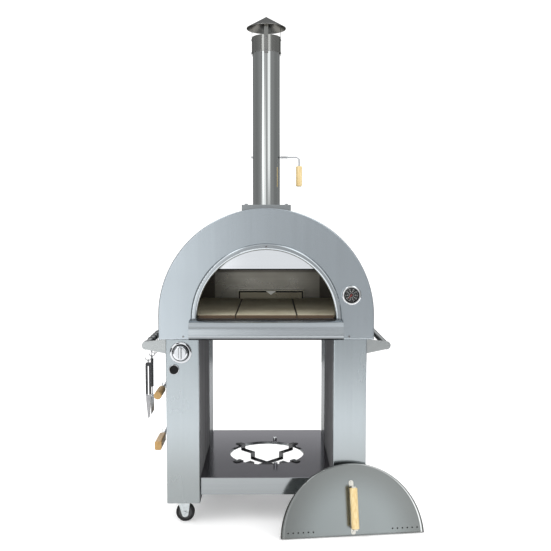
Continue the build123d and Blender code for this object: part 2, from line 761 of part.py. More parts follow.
def screw_heads(plane, points):
    """Small domed screw heads standing on a plane, as separate solids."""
    head_radius = 4
    head_height = 2.2
    dome = 1.6
    with BuildPart() as heads:
        with BuildSketch(plane):
            with Locations(*points):
                Circle(head_radius)
        extrude(amount=head_height)
        tops = heads.faces().filter_by(GeomType.PLANE).group_by(Axis((0, 0, 0), plane.z_dir))[-1]
        fillet(tops.edges(), radius=dome)
    return heads.part


def make_pan_head_screws():
    """Small screws of the body, the flue cap, the shelf cradle and the pedestals."""
    strap = SLEEVE_RADIUS + STRAP_THICK
    cap_z = (PIPE_TOP - 10, PIPE_TOP - 60)
    trim_middle = (MOUTH_RADIUS + TRIM_RADIUS) / 2
    inset = 12
    rim = BODY_RADIUS - inset
    low_z = BASE_Z + inset
    front_x = 315
    side_inset = 40
    foot_inset = 55
    head_inset = 112
    cradle_radius = TANK_RADIUS + 15
    groups = [
        screw_heads(front_plane(FRONT), [(-front_x, low_z), (front_x, low_z)]),
        screw_heads(front_plane(FRONT - TRIM_PROUD), [(0, MOUTH_Z + trim_middle)]),
    ]
    under = Plane(origin=(0, FRONT - APRON_REACH / 2, APRON_LOW), z_dir=(0, 0, -1))
    groups.append(screw_heads(under, [(0, 0)]))
    back = Plane(origin=(0, BACK, 0), x_dir=(-1, 0, 0), z_dir=(0, 1, 0))
    edge = [(rim * cos(radians(a)), ARCH_Z + rim * sin(radians(a))) for a in range(0, 181, 30)]
    groups.append(screw_heads(back, edge + [(-rim, low_z), (0, low_z), (rim, low_z)]))
    for angle in (0, 90, 180, 270):
        a = radians(angle)
        face = Plane(origin=(strap * cos(a), FLUE_Y + strap * sin(a), 0),
                     x_dir=(-sin(a), cos(a), 0), z_dir=(cos(a), sin(a), 0))
        groups.append(screw_heads(face, [(0, z) for z in cap_z]))
    cradle = [(cradle_radius * cos(radians(a)), TANK_Y + cradle_radius * sin(radians(a)))
              for a in CRADLE_ANGLES]
    groups.append(screw_heads(Plane.XY.offset(SHELF_TOP + CRADLE_BAR), cradle))
    for side in (-1, 1):
        face = Plane(origin=(side * LEG_OUT, 0, 0), x_dir=(0, side, 0), z_dir=(side, 0, 0))
        points = [(side * y, z) for y in (LEG_FRONT + side_inset, LEG_BACK - side_inset)
                  for z in (LEG_Z + foot_inset, BASE_Z - head_inset)]
        groups.append(screw_heads(face, points))
    with BuildPart() as screws:
        for group in groups:
            add(group)
    save(screws, "pan_head_screws")


# ---------------------------------------------------------------- controls and thermometer

def make_control_bezels():
    """Bright ring and skirt behind the knob, and the collar of the igniter button."""
    knob_ring = 41.5
    button_ring = 20
    proud = 6
    recess = 3
    knob_recess = 33
    button_recess = 17
    with BuildPart() as bezels:
        with BuildSketch(front_plane(LEG_FRONT)):
            with Locations((KNOB_X, KNOB_Z)):
                Circle(knob_ring)
            with Locations((IGNITER_X, IGNITER_Z)):
                Circle(button_ring)
        extrude(amount=proud)
        rims = bezels.faces().sort_by(Axis.Y)[0:2].edges()
        fillet(rims, radius=recess)
        with BuildSketch(front_plane(LEG_FRONT - recess)):
            with Locations((KNOB_X, KNOB_Z)):
                Circle(knob_recess)
            with Locations((IGNITER_X, IGNITER_Z)):
                Circle(button_recess)
        extrude(amount=proud, mode=Mode.SUBTRACT)
        with BuildSketch(front_plane(LEG_FRONT + 1)):
            with Locations((KNOB_X, KNOB_Z)):
                Circle(STEM_RADIUS + 1)
            with Locations((IGNITER_X, IGNITER_Z)):
                Circle(IGNITER_STEM + TURN_CLEARANCE)
        extrude(amount=2 * proud, mode=Mode.SUBTRACT)
    save(bezels, "control_bezels")


def make_valve_stem():
    """Stem that the knob turns on and that is pushed in with it."""
    with BuildPart() as stem:
        with BuildSketch(front_plane(LEG_FRONT + 14)):
            with Locations((KNOB_X, KNOB_Z)):
                Circle(STEM_RADIUS)
        extrude(amount=STEM_LENGTH)
    save(stem, "valve_stem")


def make_control_knob():
    """Domed knob with a raised finger bar, bored for the stem."""
    back = 8
    disc = 17
    dome = 9
    bar_base = 2 * back
    bar_length = 48
    bar_width = 13
    bar_height = 16
    bar_edge = 4
    bore = 16.3
    with BuildPart() as knob:
        with BuildSketch(front_plane(LEG_FRONT - back)):
            with Locations((KNOB_X, KNOB_Z)):
                Circle(KNOB_RADIUS)
        extrude(amount=disc)
        fillet(knob.faces().sort_by(Axis.Y)[0].edges(), radius=dome)
        with BuildSketch(front_plane(LEG_FRONT - bar_base)):
            with Locations((KNOB_X, KNOB_Z)):
                SlotOverall(bar_length, bar_width, rotation=90)
        extrude(amount=bar_height)
        fillet(knob.faces().sort_by(Axis.Y)[0].edges(), radius=bar_edge)
        with BuildSketch(front_plane(LEG_FRONT)):
            with Locations((KNOB_X, KNOB_Z)):
                Circle(STEM_RADIUS + TURN_CLEARANCE)
        extrude(amount=bore, mode=Mode.SUBTRACT)
    save(knob, "control_knob")


def make_igniter_button():
    """Push button of the spark igniter with its guide stem."""
    back = 9
    thick = 6
    stem_length = 29
    with BuildPart() as button:
        with BuildSketch(front_plane(LEG_FRONT - back)):
            with Locations((IGNITER_X, IGNITER_Z)):
                Circle(IGNITER_RADIUS)
        extrude(amount=thick)
        fillet(button.faces().sort_by(Axis.Y)[0].edges(), radius=thick / 2)
        with BuildSketch(front_plane(LEG_FRONT - back)):
            with Locations((IGNITER_X, IGNITER_Z)):
                Circle(IGNITER_STEM)
        extrude(amount=-stem_length)
    save(button, "igniter_button")


def make_thermometer():
    """Bezel cup with its probe, a dial, a glass and a pointer on the centre line."""
    centre = (GAUGE_X, GAUGE_Z)
    case_depth = 14
    case_edge = 6
    probe_radius = PROBE_HOLE - 0.1
    glass = 1.5
    glass_back = 10
    hub = 3.2
    tip = 15
    pivot = 1.5
    with BuildPart() as case:
        with BuildSketch(front_plane(FRONT)):
            with Locations(centre):
                Circle(GAUGE_RADIUS)
        extrude(amount=case_depth)
        fillet(case.faces().sort_by(Axis.Y)[0].edges(), radius=case_edge)
        with BuildSketch(front_plane(FRONT - DIAL_BACK)):
            with Locations(centre):
                Circle(DIAL_RADIUS)
        extrude(amount=2 * case_depth, mode=Mode.SUBTRACT)
        with BuildSketch(front_plane(FRONT)):
            with Locations(centre):
                Circle(probe_radius)
        extrude(amount=-PROBE_LENGTH)
    save(case, "thermometer_case")
    with BuildPart() as dial:
        with BuildSketch(front_plane(FRONT - DIAL_BACK)):
            with Locations(centre):
                Circle(DIAL_RADIUS)
        extrude(amount=1)
        with BuildSketch(front_plane(FRONT - DIAL_BACK - 1)):
            with Locations(centre):
                Circle(pivot)
        extrude(amount=3)
    save(dial, "thermometer_dial")
    with BuildPart() as lens:
        with BuildSketch(front_plane(FRONT - glass_back)):
            with Locations(centre):
                Circle(DIAL_RADIUS)
        extrude(amount=glass)
    save(lens, "thermometer_lens")
    with BuildPart() as pointer:
        with BuildSketch(front_plane(FRONT - DIAL_BACK - 2)):
            with Locations(centre):
                Circle(hub)
            with BuildLine():
                Polyline((GAUGE_X - 2, GAUGE_Z), (GAUGE_X - tip, GAUGE_Z - tip - 0.5),
                         (GAUGE_X, GAUGE_Z - 2), (GAUGE_X - 2, GAUGE_Z))
            make_face()
        extrude(amount=1)
        with BuildSketch(front_plane(FRONT)):
            with Locations(centre):
                Circle(pivot + TURN_CLEARANCE)
        extrude(amount=2 * case_depth, mode=Mode.SUBTRACT)
    save(pointer, "thermometer_pointer")


# ---------------------------------------------------------------- casters

def make_caster_plates():
    """Four top plates under the pedestals, each with a headed kingpin."""
    plate = 62
    head_radius = 9
    head = 3.2
    head_top = LEG_Z - PLATE_THICK - KINGPIN_LENGTH + 0.4
    hang = (Align.CENTER, Align.CENTER, Align.MAX)
    with BuildPart() as plates:
        for x in (-CASTER_X, CASTER_X):
            for y in CASTER_Y:
                with Locations((x, y, LEG_Z)):
                    Box(plate, plate, PLATE_THICK, align=hang)
                with Locations((x, y, LEG_Z - PLATE_THICK)):
                    Cylinder(KINGPIN_RADIUS, KINGPIN_LENGTH, align=hang)
                with Locations((x, y, head_top)):
                    Cylinder(head_radius, head, align=hang)
    save(plates, "caster_plates")


def make_caster_fork(x, y, name):
    """Pressed fork that swivels on the kingpin, with the axle bolt across it."""
    top = LEG_Z - PLATE_THICK - 0.3
    crown = 4
    crown_radius = 22
    cheek = 2.5
    cheek_top = 24
    cheek_width = 42
    cheek_end = 13
    nut_radius = 6.5
    reach = WHEEL_WIDTH / 2 + 1.5
    cap = 4
    with BuildPart() as fork:
        with BuildSketch(Plane.XY.offset(top - crown)):
            with Locations((x, y)):
                Circle(crown_radius)
                Circle(KINGPIN_RADIUS + TURN_CLEARANCE, mode=Mode.SUBTRACT)
        extrude(amount=crown)
        for cheek_y in (y - reach, y + reach + cheek):
            with BuildSketch(front_plane(cheek_y)):
                with Locations((x + TRAIL, WHEEL_RADIUS - 5)):
                    Circle(cheek_end)
                with Locations((x, top - cheek_top / 2)):
                    Rectangle(cheek_width, cheek_top)
                make_hull()
            extrude(amount=cheek)
        with BuildSketch(front_plane(y + reach + cheek)):
            with Locations((x + TRAIL, WHEEL_RADIUS)):
                Circle(AXLE_RADIUS)
        extrude(amount=2 * (reach + cheek))
        for cap_y in (y - reach - cheek, y + reach + cheek + cap):
            with BuildSketch(front_plane(cap_y)):
                with Locations((x + TRAIL, WHEEL_RADIUS)):
                    RegularPolygon(nut_radius, 6)
            extrude(amount=cap)
    save(fork, name)


def make_caster_wheel(x, y, name):
    """Solid rubber wheel with a raised hub, bored for the axle."""
    recess = 2
    tread_edge = 5
    tyre_inner = 26
    hub_radius = 12
    with BuildPart() as wheel:
        with BuildSketch(front_plane(y + WHEEL_WIDTH / 2)):
            with Locations((x + TRAIL, WHEEL_RADIUS)):
                Circle(WHEEL_RADIUS)
        extrude(amount=WHEEL_WIDTH)
        fillet(wheel.edges().filter_by(GeomType.CIRCLE), radius=tread_edge)
        for face_y in (y + WHEEL_WIDTH / 2, y - WHEEL_WIDTH / 2 + recess):
            with BuildSketch(front_plane(face_y)):
                with Locations((x + TRAIL, WHEEL_RADIUS)):
                    Circle(tyre_inner)
                    Circle(hub_radius, mode=Mode.SUBTRACT)
            extrude(amount=recess, mode=Mode.SUBTRACT)
        with BuildSketch(front_plane(y + WHEEL_WIDTH)):
            with Locations((x + TRAIL, WHEEL_RADIUS)):
                Circle(AXLE_RADIUS + TURN_CLEARANCE)
        extrude(amount=2 * WHEEL_WIDTH, mode=Mode.SUBTRACT)
    save(wheel, name)


# ---------------------------------------------------------------- door

def door_plane(height=0, proud=0):
    """Plane of the leaning door's face: local x to the right, local y up the door."""
    yaw = radians(DOOR_YAW)
    lean = radians(DOOR_LEAN)
    normal = Vector(sin(yaw) * cos(lean), -cos(yaw) * cos(lean), sin(lean))
    upward = Vector(-sin(yaw) * sin(lean), cos(yaw) * sin(lean), cos(lean))
    foot = Vector(DOOR_X, FRONT - DOOR_AHEAD, DOOR_DEPTH * sin(lean) + 0.5)
    return Plane(origin=foot + upward * height + normal * proud,
                 x_dir=(cos(yaw), sin(yaw), 0), z_dir=normal)


def make_door_panel():
    """Half-round pan with a rolled edge and a row of vent holes at each end."""
    face = door_plane()
    across = Axis(face.origin, face.z_dir)
    half = sqrt(DOOR_RADIUS ** 2 - DOOR_DROP ** 2)
    rim_edge = 6
    vents = 6
    vent_radius = 2.8
    vent_step = 19
    vent_z = 20
    vent_x = DOOR_RADIUS - 75
    with BuildPart() as panel:
        with BuildSketch(face):
            with BuildLine():
                Line((-half, 0), (half, 0))
                ThreePointArc((half, 0), (0, DOOR_RADIUS - DOOR_DROP), (-half, 0))
            make_face()
        extrude(amount=-DOOR_DEPTH)
        fillet(panel.faces().sort_by(across)[-1].edges(), radius=rim_edge)
        offset(amount=-SHEET, openings=panel.faces().sort_by(across)[0])
        with BuildSketch(face):
            with Locations((-vent_x, vent_z), (vent_x, vent_z)):
                with GridLocations(vent_step, 1, vents, 1):
                    Circle(vent_radius)
        extrude(amount=-3 * SHEET, mode=Mode.SUBTRACT)
    save(panel, "door_panel")


def make_door_bracket():
    """Bright strip on the door with two arms that hold the grip between them."""
    strip = 2
    strip_width = 18
    strip_end = 24
    arm = 5
    arm_width = 15
    rivet = 16
    rivet_radius = 4
    rivet_head = 2.5
    with BuildPart() as bracket:
        with BuildSketch(door_plane()):
            with Locations((0, GRIP_LOW + GRIP_LENGTH / 2)):
                RectangleRounded(strip_width, GRIP_LENGTH + 2 * strip_end, 8)
        extrude(amount=strip)
        with BuildSketch(door_plane(proud=strip)):
            for y in (GRIP_LOW - arm / 2, GRIP_LOW + GRIP_LENGTH + arm / 2):
                with Locations((0, y)):
                    RectangleRounded(arm_width, arm, 2)
        extrude(amount=GRIP_PROUD + GRIP_RADIUS / 2)
        with BuildSketch(door_plane(proud=strip)):
            for y in (GRIP_LOW - rivet, GRIP_LOW + GRIP_LENGTH + rivet):
                with Locations((0, y)):
                    Circle(rivet_radius)
        extrude(amount=rivet_head)
    save(bracket, "door_bracket")


def make_door_grip():
    """Turned wooden grip of the door."""
    middle = door_plane(height=GRIP_LOW, proud=GRIP_PROUD)
    with BuildPart() as grip:
        with BuildSketch(Plane(origin=middle.origin, x_dir=middle.x_dir, z_dir=middle.y_dir)):
            Circle(GRIP_RADIUS)
        extrude(amount=GRIP_LENGTH)
        fillet(grip.edges().filter_by(GeomType.CIRCLE), radius=4)
    save(grip, "door_grip")


# ---------------------------------------------------------------- tools on the left side

def s_hook(y):
    """Wire S-hook over the left rail, its lower curl open towards the outside."""
    inner = -RAIL_X + HOOK_RADIUS
    with BuildPart() as hook:
        with BuildLine(front_plane(y)):
            CenterArc((-RAIL_X, RAIL_Z), HOOK_RADIUS, 0, 190)
            Line((inner, RAIL_Z), (inner, HOOK_LOW_Z))
            ThreePointArc((inner, HOOK_LOW_Z), (inner - HOOK_CURL, HOOK_LOW_Z - HOOK_CURL),
                          (inner - 2 * HOOK_CURL, HOOK_LOW_Z))
        with BuildSketch(Plane(origin=(inner - 2 * HOOK_CURL, y, HOOK_LOW_Z), z_dir=(0, 0, -1))):
            Circle(HOOK_WIRE)
        sweep()
    return hook.part


def hanging_ring(y):
    """Ring of a hanging tool, threaded on the lower curl of its hook."""
    radius = 6
    ring_z = HOOK_LOW_Z - HOOK_CURL + 2 * HOOK_WIRE + 0.1 - radius
    with BuildPart() as ring:
        with BuildSketch(Plane.XY.offset(ring_z)):
            with Locations((TOOL_X, y + radius)):
                Circle(HOOK_WIRE)
        revolve(axis=Axis((TOOL_X, y, ring_z), (1, 0, 0)))
    return ring.part


def make_tongs():
    """Sprung tongs of one bent strip, with two black grips, hung on an S-hook."""
    thick = 14
    grip_offset = 6.5
    grip_width = 7
    bridge_width = 20
    bridge_height = 12
    grip_length = 122
    foot = GRIP_TOP_Z - grip_length - 4
    half = 9
    tip_half = 2.5
    shoulder = foot - 16
    tip = foot - 88
    with BuildPart() as tongs:
        with BuildSketch(front_plane(TONGS_Y + thick / 2)):
            for side in (-1, 1):
                with Locations((TOOL_X + side * grip_offset, GRIP_TOP_Z - grip_width - grip_length / 2)):
                    RectangleRounded(grip_width, grip_length, 2)
            with Locations((TOOL_X, GRIP_TOP_Z - 5)):
                RectangleRounded(bridge_width, bridge_height, 4)
            with BuildLine():
                Polyline((TOOL_X - half, foot), (TOOL_X + half, foot), (TOOL_X + half, shoulder),
                         (TOOL_X + tip_half, tip), (TOOL_X - tip_half, tip),
                         (TOOL_X - half, shoulder), (TOOL_X - half, foot))
            make_face()
        extrude(amount=thick)
        add(hanging_ring(TONGS_Y))
        add(s_hook(TONGS_Y))
    save(tongs, "tongs")


def make_turner():
    """Turner with a black grip and a steel blade, hung edge on from an S-hook."""
    grip_length = 112
    grip_width = 20
    grip_thick = 9
    neck_width = 10
    blade_thick = 2
    neck_length = 30
    blade_top = GRIP_TOP_Z - grip_length - neck_length + 2
    blade_low = blade_top - 76
    shoulder = blade_top - 22
    neck_half = 12
    blade_half = 36
    with BuildPart() as turner:
        with Locations((TOOL_X, TURNER_Y, GRIP_TOP_Z)):
            Box(grip_thick, grip_width, grip_length, align=(Align.CENTER, Align.CENTER, Align.MAX))
        fillet(turner.edges().filter_by(Axis.Z), radius=3)
        with Locations((TOOL_X, TURNER_Y, GRIP_TOP_Z - grip_length)):
            Box(3, neck_width, neck_length, align=(Align.CENTER, Align.CENTER, Align.MAX))
        with BuildSketch(Plane(origin=(TOOL_X - blade_thick / 2, TURNER_Y, 0),
                               x_dir=(0, 1, 0), z_dir=(1, 0, 0))):
            with BuildLine():
                Polyline((-neck_half, blade_top), (neck_half, blade_top), (blade_half, shoulder),
                         (blade_half, blade_low), (-blade_half, blade_low),
                         (-blade_half, shoulder), (-neck_half, blade_top))
            make_face()
        extrude(amount=blade_thick)
        add(hanging_ring(TURNER_Y))
        add(s_hook(TURNER_Y))
    save(turner, "turner")


def make_spare_hooks():
    """Three empty S-hooks on the left rail."""
    with BuildPart() as hooks:
        for y in SPARE_HOOK_Y:
            add(s_hook(y))
    save(hooks, "spare_hooks")


def side_tool_plane(z, y):
    """Upright plane across a side tool's shaft, facing the back."""
    return Plane(origin=(SIDE_TOOL_X, y, z), x_dir=(-1, 0, 0), z_dir=(0, 1, 0))


def make_peel():
    """Small peel: round wooden handle, steel shaft and a flat blade held upright."""
    handle_radius = 15
    blade_start = 400
    blade_height = 130
    blade_corner = 30
    blade_length = 200
    with BuildPart() as peel:
        with BuildSketch(side_tool_plane(PEEL_Z, SIDE_TOOL_FRONT)):
            Circle(handle_radius)
        extrude(amount=PEEL_HANDLE)
        fillet(peel.edges().filter_by(GeomType.CIRCLE), radius=4)
        with BuildSketch(side_tool_plane(PEEL_Z, SIDE_TOOL_FRONT + PEEL_HANDLE)):
            Circle(SHAFT_RADIUS)
        extrude(amount=blade_start + 10 - PEEL_HANDLE)
        with Locations((SIDE_TOOL_X, SIDE_TOOL_FRONT + blade_start + blade_length / 2, PEEL_Z)):
            Box(2, blade_length, blade_height)
        fillet(peel.edges().filter_by(Axis.X), radius=blade_corner)
    save(peel, "peel")


def make_brush():
    """Hearth brush: square wooden handle, steel shaft and a bristle head."""
    handle_width = 26
    handle_height = 34
    head_start = 430
    head_length = 150
    head_height = 44
    with BuildPart() as brush:
        with BuildSketch(side_tool_plane(BRUSH_Z, SIDE_TOOL_FRONT)):
            RectangleRounded(handle_width, handle_height, 6)
        extrude(amount=BRUSH_HANDLE)
        with BuildSketch(side_tool_plane(BRUSH_Z, SIDE_TOOL_FRONT + BRUSH_HANDLE)):
            Circle(SHAFT_RADIUS)
        extrude(amount=head_start + 10 - BRUSH_HANDLE)
        with Locations((SIDE_TOOL_X, SIDE_TOOL_FRONT + head_start + head_length / 2, BRUSH_Z)):
            Box(handle_width, head_length, head_height)
    save(brush, "brush")


def make_tool_rack():
    """Four cradle arms on the left pedestal, open above, two for each side tool."""
    arm = 4
    lip = 14
    foot_width = 24
    foot_height = 40
    hook_x = SIDE_TOOL_X - SHAFT_RADIUS - 4
    with BuildPart() as rack:
        for tool_z in (PEEL_Z, BRUSH_Z):
            for y in RACK_Y:
                with BuildSketch(front_plane(y)):
                    with BuildLine():
                        low = tool_z - SHAFT_RADIUS - 0.4
                        Polyline((-LEG_OUT, low - 4 * arm), (-LEG_OUT, low), (hook_x, low),
                                 (hook_x, low + lip), (hook_x - arm, low + lip),
                                 (hook_x - arm, low - arm), (-LEG_OUT, low - 4 * arm))
                    make_face()
                extrude(amount=-arm)
                with Locations((-LEG_OUT - 1, y + arm / 2, tool_z - 6)):
                    Box(2, foot_width, foot_height)
    save(rack, "tool_rack")


make_outer_housing()
make_front_panel()
make_back_panel()
make_base_pan()
make_mouth_trim()
make_landing_apron()
make_cavity_liner()
make_cavity_back_wall()
make_insulation_blanket()
make_smoke_baffle()
make_hearth_tray()
make_hearth_stones()
make_burner_box()
make_burner_tube()
make_gas_pipe()
make_gas_valve()
make_flue_flange()
make_flange_bolts()
make_chimney_pipe()
make_cap_straps()
make_cap_cone()
make_damper_rod()
make_damper_plate()
make_damper_spring()
make_damper_grip()
make_pedestal(-1, "left_pedestal")
make_pedestal(1, "right_pedestal")
make_inner_side_panels()
make_shelf_pan()
make_tank_cradle()
make_tank_clamp_screws()
make_rail_brackets()
make_side_rails()
make_pan_head_screws()
make_control_bezels()
make_valve_stem()
make_control_knob()
make_igniter_button()
make_thermometer()
make_caster_plates()
for side, x in (("left", -CASTER_X), ("right", CASTER_X)):
    for end, y in zip(("front", "rear"), CASTER_Y):
        make_caster_fork(x, y, f"caster_fork_{end}_{side}")
        make_caster_wheel(x, y, f"caster_wheel_{end}_{side}")
make_door_panel()
make_door_bracket()
make_door_grip()
make_tongs()
make_turner()
make_spare_hooks()
make_peel()
make_brush()
make_tool_rack()
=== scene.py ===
from math import cos, pi, radians, sin

import bpy
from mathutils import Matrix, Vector


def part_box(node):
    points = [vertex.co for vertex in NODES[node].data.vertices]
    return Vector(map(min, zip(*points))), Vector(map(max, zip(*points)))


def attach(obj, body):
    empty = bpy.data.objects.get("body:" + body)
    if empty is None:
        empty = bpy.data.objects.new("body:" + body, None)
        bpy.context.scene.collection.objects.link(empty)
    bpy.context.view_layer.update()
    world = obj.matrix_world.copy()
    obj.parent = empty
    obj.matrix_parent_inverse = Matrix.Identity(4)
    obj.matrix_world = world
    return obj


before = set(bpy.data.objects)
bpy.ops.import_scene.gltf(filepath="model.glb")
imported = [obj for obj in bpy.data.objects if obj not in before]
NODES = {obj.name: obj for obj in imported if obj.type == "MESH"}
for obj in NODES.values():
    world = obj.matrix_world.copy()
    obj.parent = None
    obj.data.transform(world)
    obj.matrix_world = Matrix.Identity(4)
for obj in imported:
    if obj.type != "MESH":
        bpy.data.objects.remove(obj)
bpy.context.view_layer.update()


# ---------------------------------------------------------------- places on the oven, in metres

PANEL_STEP = 0.015
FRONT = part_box("outer_housing")[0].y - PANEL_STEP
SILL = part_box("landing_apron")[1].z
STONE_SEAM = 0.117
BRIGHT_WALL_HALF = 0.246
TAB_HALF = 0.027
TAB_DROP = 0.020

# How the loose door stands: the middle of its lower edge, its turn and its lean, and its vents.
DOOR_FOOT = Vector((0.327, -0.459, 0.0048))
DOOR_YAW = radians(6.3)
DOOR_LEAN = radians(15.5)
VENT_X = 0.199
VENT_UP = 0.020


# ---------------------------------------------------------------- camera, floor and light

CAMERA_DISTANCE = 2.71
CAMERA_HEIGHT = 1.166
CAMERA_SIDE = 0.018
LENS = 47.04
SENSOR = 36
TILT_DOWN = 4.0
TURN_RIGHT = 0.36
FLOOR_HALF = 3.0
FLOOR_TONE = (0.93, 0.93, 0.93)
FLOOR_LIFT = 0.22
ROOM_GLOW = 1.25
WHITE = (1, 1, 1, 1)
COOL_WHITE = (0.97, 0.99, 1.0, 1)

# What polished metal sees of the room. A patch of glow has the places where it starts, is full,
# begins to fall and ends, along one axis of the direction, and then its strength.
BASE_GLOW = 0.33
LEFT_PATCH = (-0.80, -0.50, -0.15, -0.03, 0.85)
LEFT_STRIP = (-0.58, -0.50, -0.38, -0.28, 1.3)
CENTRE_PATCH = (-0.32, -0.20, 0.50, 0.70, 0.15)
RIGHT_STRIP = (0.10, 0.34, 0.44, 0.62, 1.0)
DARK_LINE = (-0.70, -0.64, -0.64, -0.58, -0.28)
FAR_BASE = 0.35
FAR_STRIP = (0.08, 0.14, 0.27, 0.30, 1.4)

# Fades of the same room: two places along an axis of the direction, and the values there.
ABOVE_EYE = (0.0, 0.10, 0.0, 1.0)
LOW_DOWN = (0.05, 0.25, 1.0, 0.1)
OVERHEAD = (0.45, 0.75, 0.0, 0.2)
FAR_SIDES = (0.85, 1.0, 0.0, -0.08)
FAR_MIDDLE = (0.25, 0.5, 1.0, 0.0)
FAR_HALF = (0.3, 0.7, 0.0, 1.0)

# Name, place, aim, size and power of each soft light.
LAMPS = (("key", (-2.6, -2.6, 3.4), (0, 0, 0.9), 2.4, 45),
         ("fill", (3.0, -2.2, 2.2), (0, 0, 0.8), 2.0, 15),
         ("back", (0.6, 3.4, 3.0), (0, 0, 0.9), 2.4, 20),
         ("top", (0, 0.2, 4.2), (0, 0, 0), 3.0, 20))


class Nodes:
    """Adds nodes to one tree. Any value may be a number, a tuple or another node's output."""

    def __init__(self, tree):
        self.tree = tree

    def fill(self, socket, value):
        """Fix one input, or link a node's output to it."""
        if isinstance(value, bpy.types.NodeSocket):
            self.tree.links.new(value, socket)
        else:
            socket.default_value = value

    def node(self, kind, inputs=None, output=0, **settings):
        """Add a node, fill its inputs and return one output."""
        made = self.tree.nodes.new("ShaderNode" + kind)
        for key, value in settings.items():
            setattr(made, key, value)
        for key, value in (inputs or {}).items():
            self.fill(made.inputs[key], value)
        return made.outputs[output]

    def part(self, vector, axis):
        """One of the three parts of a vector."""
        return self.node("SeparateXYZ", {"Vector": vector}, output=axis)

    def maths(self, operation, first, second=0.0):
        """One arithmetic step."""
        return self.node("Math", {0: first, 1: second}, operation=operation)

    def total(self, first, *others):
        """Sum of all values."""
        for other in others:
            first = self.maths("ADD", first, other)
        return first

    def product(self, first, *others):
        """Product of all values."""
        for other in others:
            first = self.maths("MULTIPLY", first, other)
        return first

    def either(self, first, second):
        """The stronger of two masks."""
        return self.maths("MAXIMUM", first, second)

    def opposite(self, mask):
        """A mask turned inside out."""
        return self.maths("SUBTRACT", 1.0, mask)

    def off_centre(self, value, centre=0.0):
        """Distance of a value from a centre."""
        return self.maths("ABSOLUTE", self.maths("SUBTRACT", value, centre))

    def ramp(self, value, low, high, out_low=0.0, out_high=1.0, smooth=False):
        """Value mapped from low..high to out_low..out_high, clamped."""
        kind = "SMOOTHSTEP" if smooth else "LINEAR"
        return self.node("MapRange", {"Value": value, "From Min": low, "From Max": high,
                                      "To Min": out_low, "To Max": out_high}, interpolation_type=kind)

    def band(self, value, low, high, soft):
        """Mask between two levels: it rises over a soft width past the first and falls past the second."""
        return self.product(self.ramp(value, low, low + soft),
                            self.ramp(value, high, high + soft, 1.0, 0.0))


def make_camera():
    """Eye-level view straight into the mouth, a little above the middle of the oven."""
    data = bpy.data.cameras.new("camera")
    data.lens = LENS
    data.sensor_width = SENSOR
    camera = bpy.data.objects.new("camera", data)
    bpy.context.scene.collection.objects.link(camera)
    camera.location = (CAMERA_SIDE, FRONT - CAMERA_DISTANCE, CAMERA_HEIGHT)
    camera.rotation_euler = (radians(90 - TILT_DOWN), 0, radians(-TURN_RIGHT))
    bpy.context.scene.camera = camera
    bpy.context.scene.view_settings.view_transform = "Standard"


def make_floor():
    """Plain pale floor, with a faint glow that only the camera sees, to soften the shadow."""
    corners = [(x * FLOOR_HALF, y * FLOOR_HALF, 0) for x, y in ((-1, -1), (1, -1), (1, 1), (-1, 1))]
    mesh = bpy.data.meshes.new("floor")
    mesh.from_pydata(corners, [], [(0, 1, 2, 3)])
    floor = bpy.data.objects.new("floor", mesh)
    bpy.context.scene.collection.objects.link(floor)
    look = Look("floor_paint", FLOOR_TONE, roughness=0.9)
    look.set("Specular IOR Level", 0.1)
    look.set("Emission Color", WHITE)
    seen = look.node("LightPath", output="Is Camera Ray")
    look.set("Emission Strength", look.product(seen, FLOOR_LIFT))
    floor.data.materials.append(look.material)


def make_world():
    """White room for diffuse light; polished metal sees bright and dark bands, and a dim far half."""
    world = bpy.data.worlds.new("studio")
    world.use_nodes = True
    world.node_tree.nodes.clear()
    bpy.context.scene.world = world
    room = Nodes(world.node_tree)

    def fade(value, places):
        """Smooth change between two strengths."""
        return room.ramp(value, *places, smooth=True)

    def patch(value, places):
        """Glow that rises, stays and falls again."""
        start, full, falls, end, strength = places
        return room.product(fade(value, (start, full, 0.0, strength)), fade(value, (falls, end, 1.0, 0.0)))

    direction = room.node("TexCoord", output="Generated")
    across, depth, height = (room.part(direction, axis) for axis in "XYZ")
    sideways = room.off_centre(across)
    above = fade(height, ABOVE_EYE)
    near = room.total(
        patch(across, DARK_LINE), BASE_GLOW,
        room.product(patch(across, LEFT_PATCH), fade(height, LOW_DOWN)),
        room.product(patch(across, LEFT_STRIP), above),
        patch(across, CENTRE_PATCH),
        room.product(patch(across, RIGHT_STRIP), above),
        fade(height, OVERHEAD),
        fade(sideways, FAR_SIDES))
    far = room.total(FAR_BASE, room.product(patch(height, FAR_STRIP), fade(sideways, FAR_MIDDLE)))
    is_far = fade(depth, FAR_HALF)
    level = room.total(room.product(near, room.opposite(is_far)), room.product(far, is_far))
    shine = room.node("Background", {"Color": COOL_WHITE, "Strength": level})
    plain = room.node("Background", {"Color": WHITE, "Strength": ROOM_GLOW})
    is_glossy = room.node("LightPath", output="Is Glossy Ray")
    light = room.node("MixShader", {0: is_glossy, 1: plain, 2: shine})
    out = world.node_tree.nodes.new("ShaderNodeOutputWorld")
    room.fill(out.inputs["Surface"], light)


def make_lamps():
    """Large soft key above on the left, a weaker fill on the right, one behind and one overhead."""
    for name, place, aim, size, power in LAMPS:
        data = bpy.data.lights.new(name, "AREA")
        data.shape = "SQUARE"
        data.size = size
        data.energy = power
        lamp = bpy.data.objects.new(name, data)
        bpy.context.scene.collection.objects.link(lamp)
        lamp.location = place
        lamp.visible_glossy = False
        lamp.rotation_mode = "QUATERNION"
        lamp.rotation_quaternion = (Vector(aim) - Vector(place)).to_track_quat("-Z", "Y")


# ---------------------------------------------------------------- tools for the materials

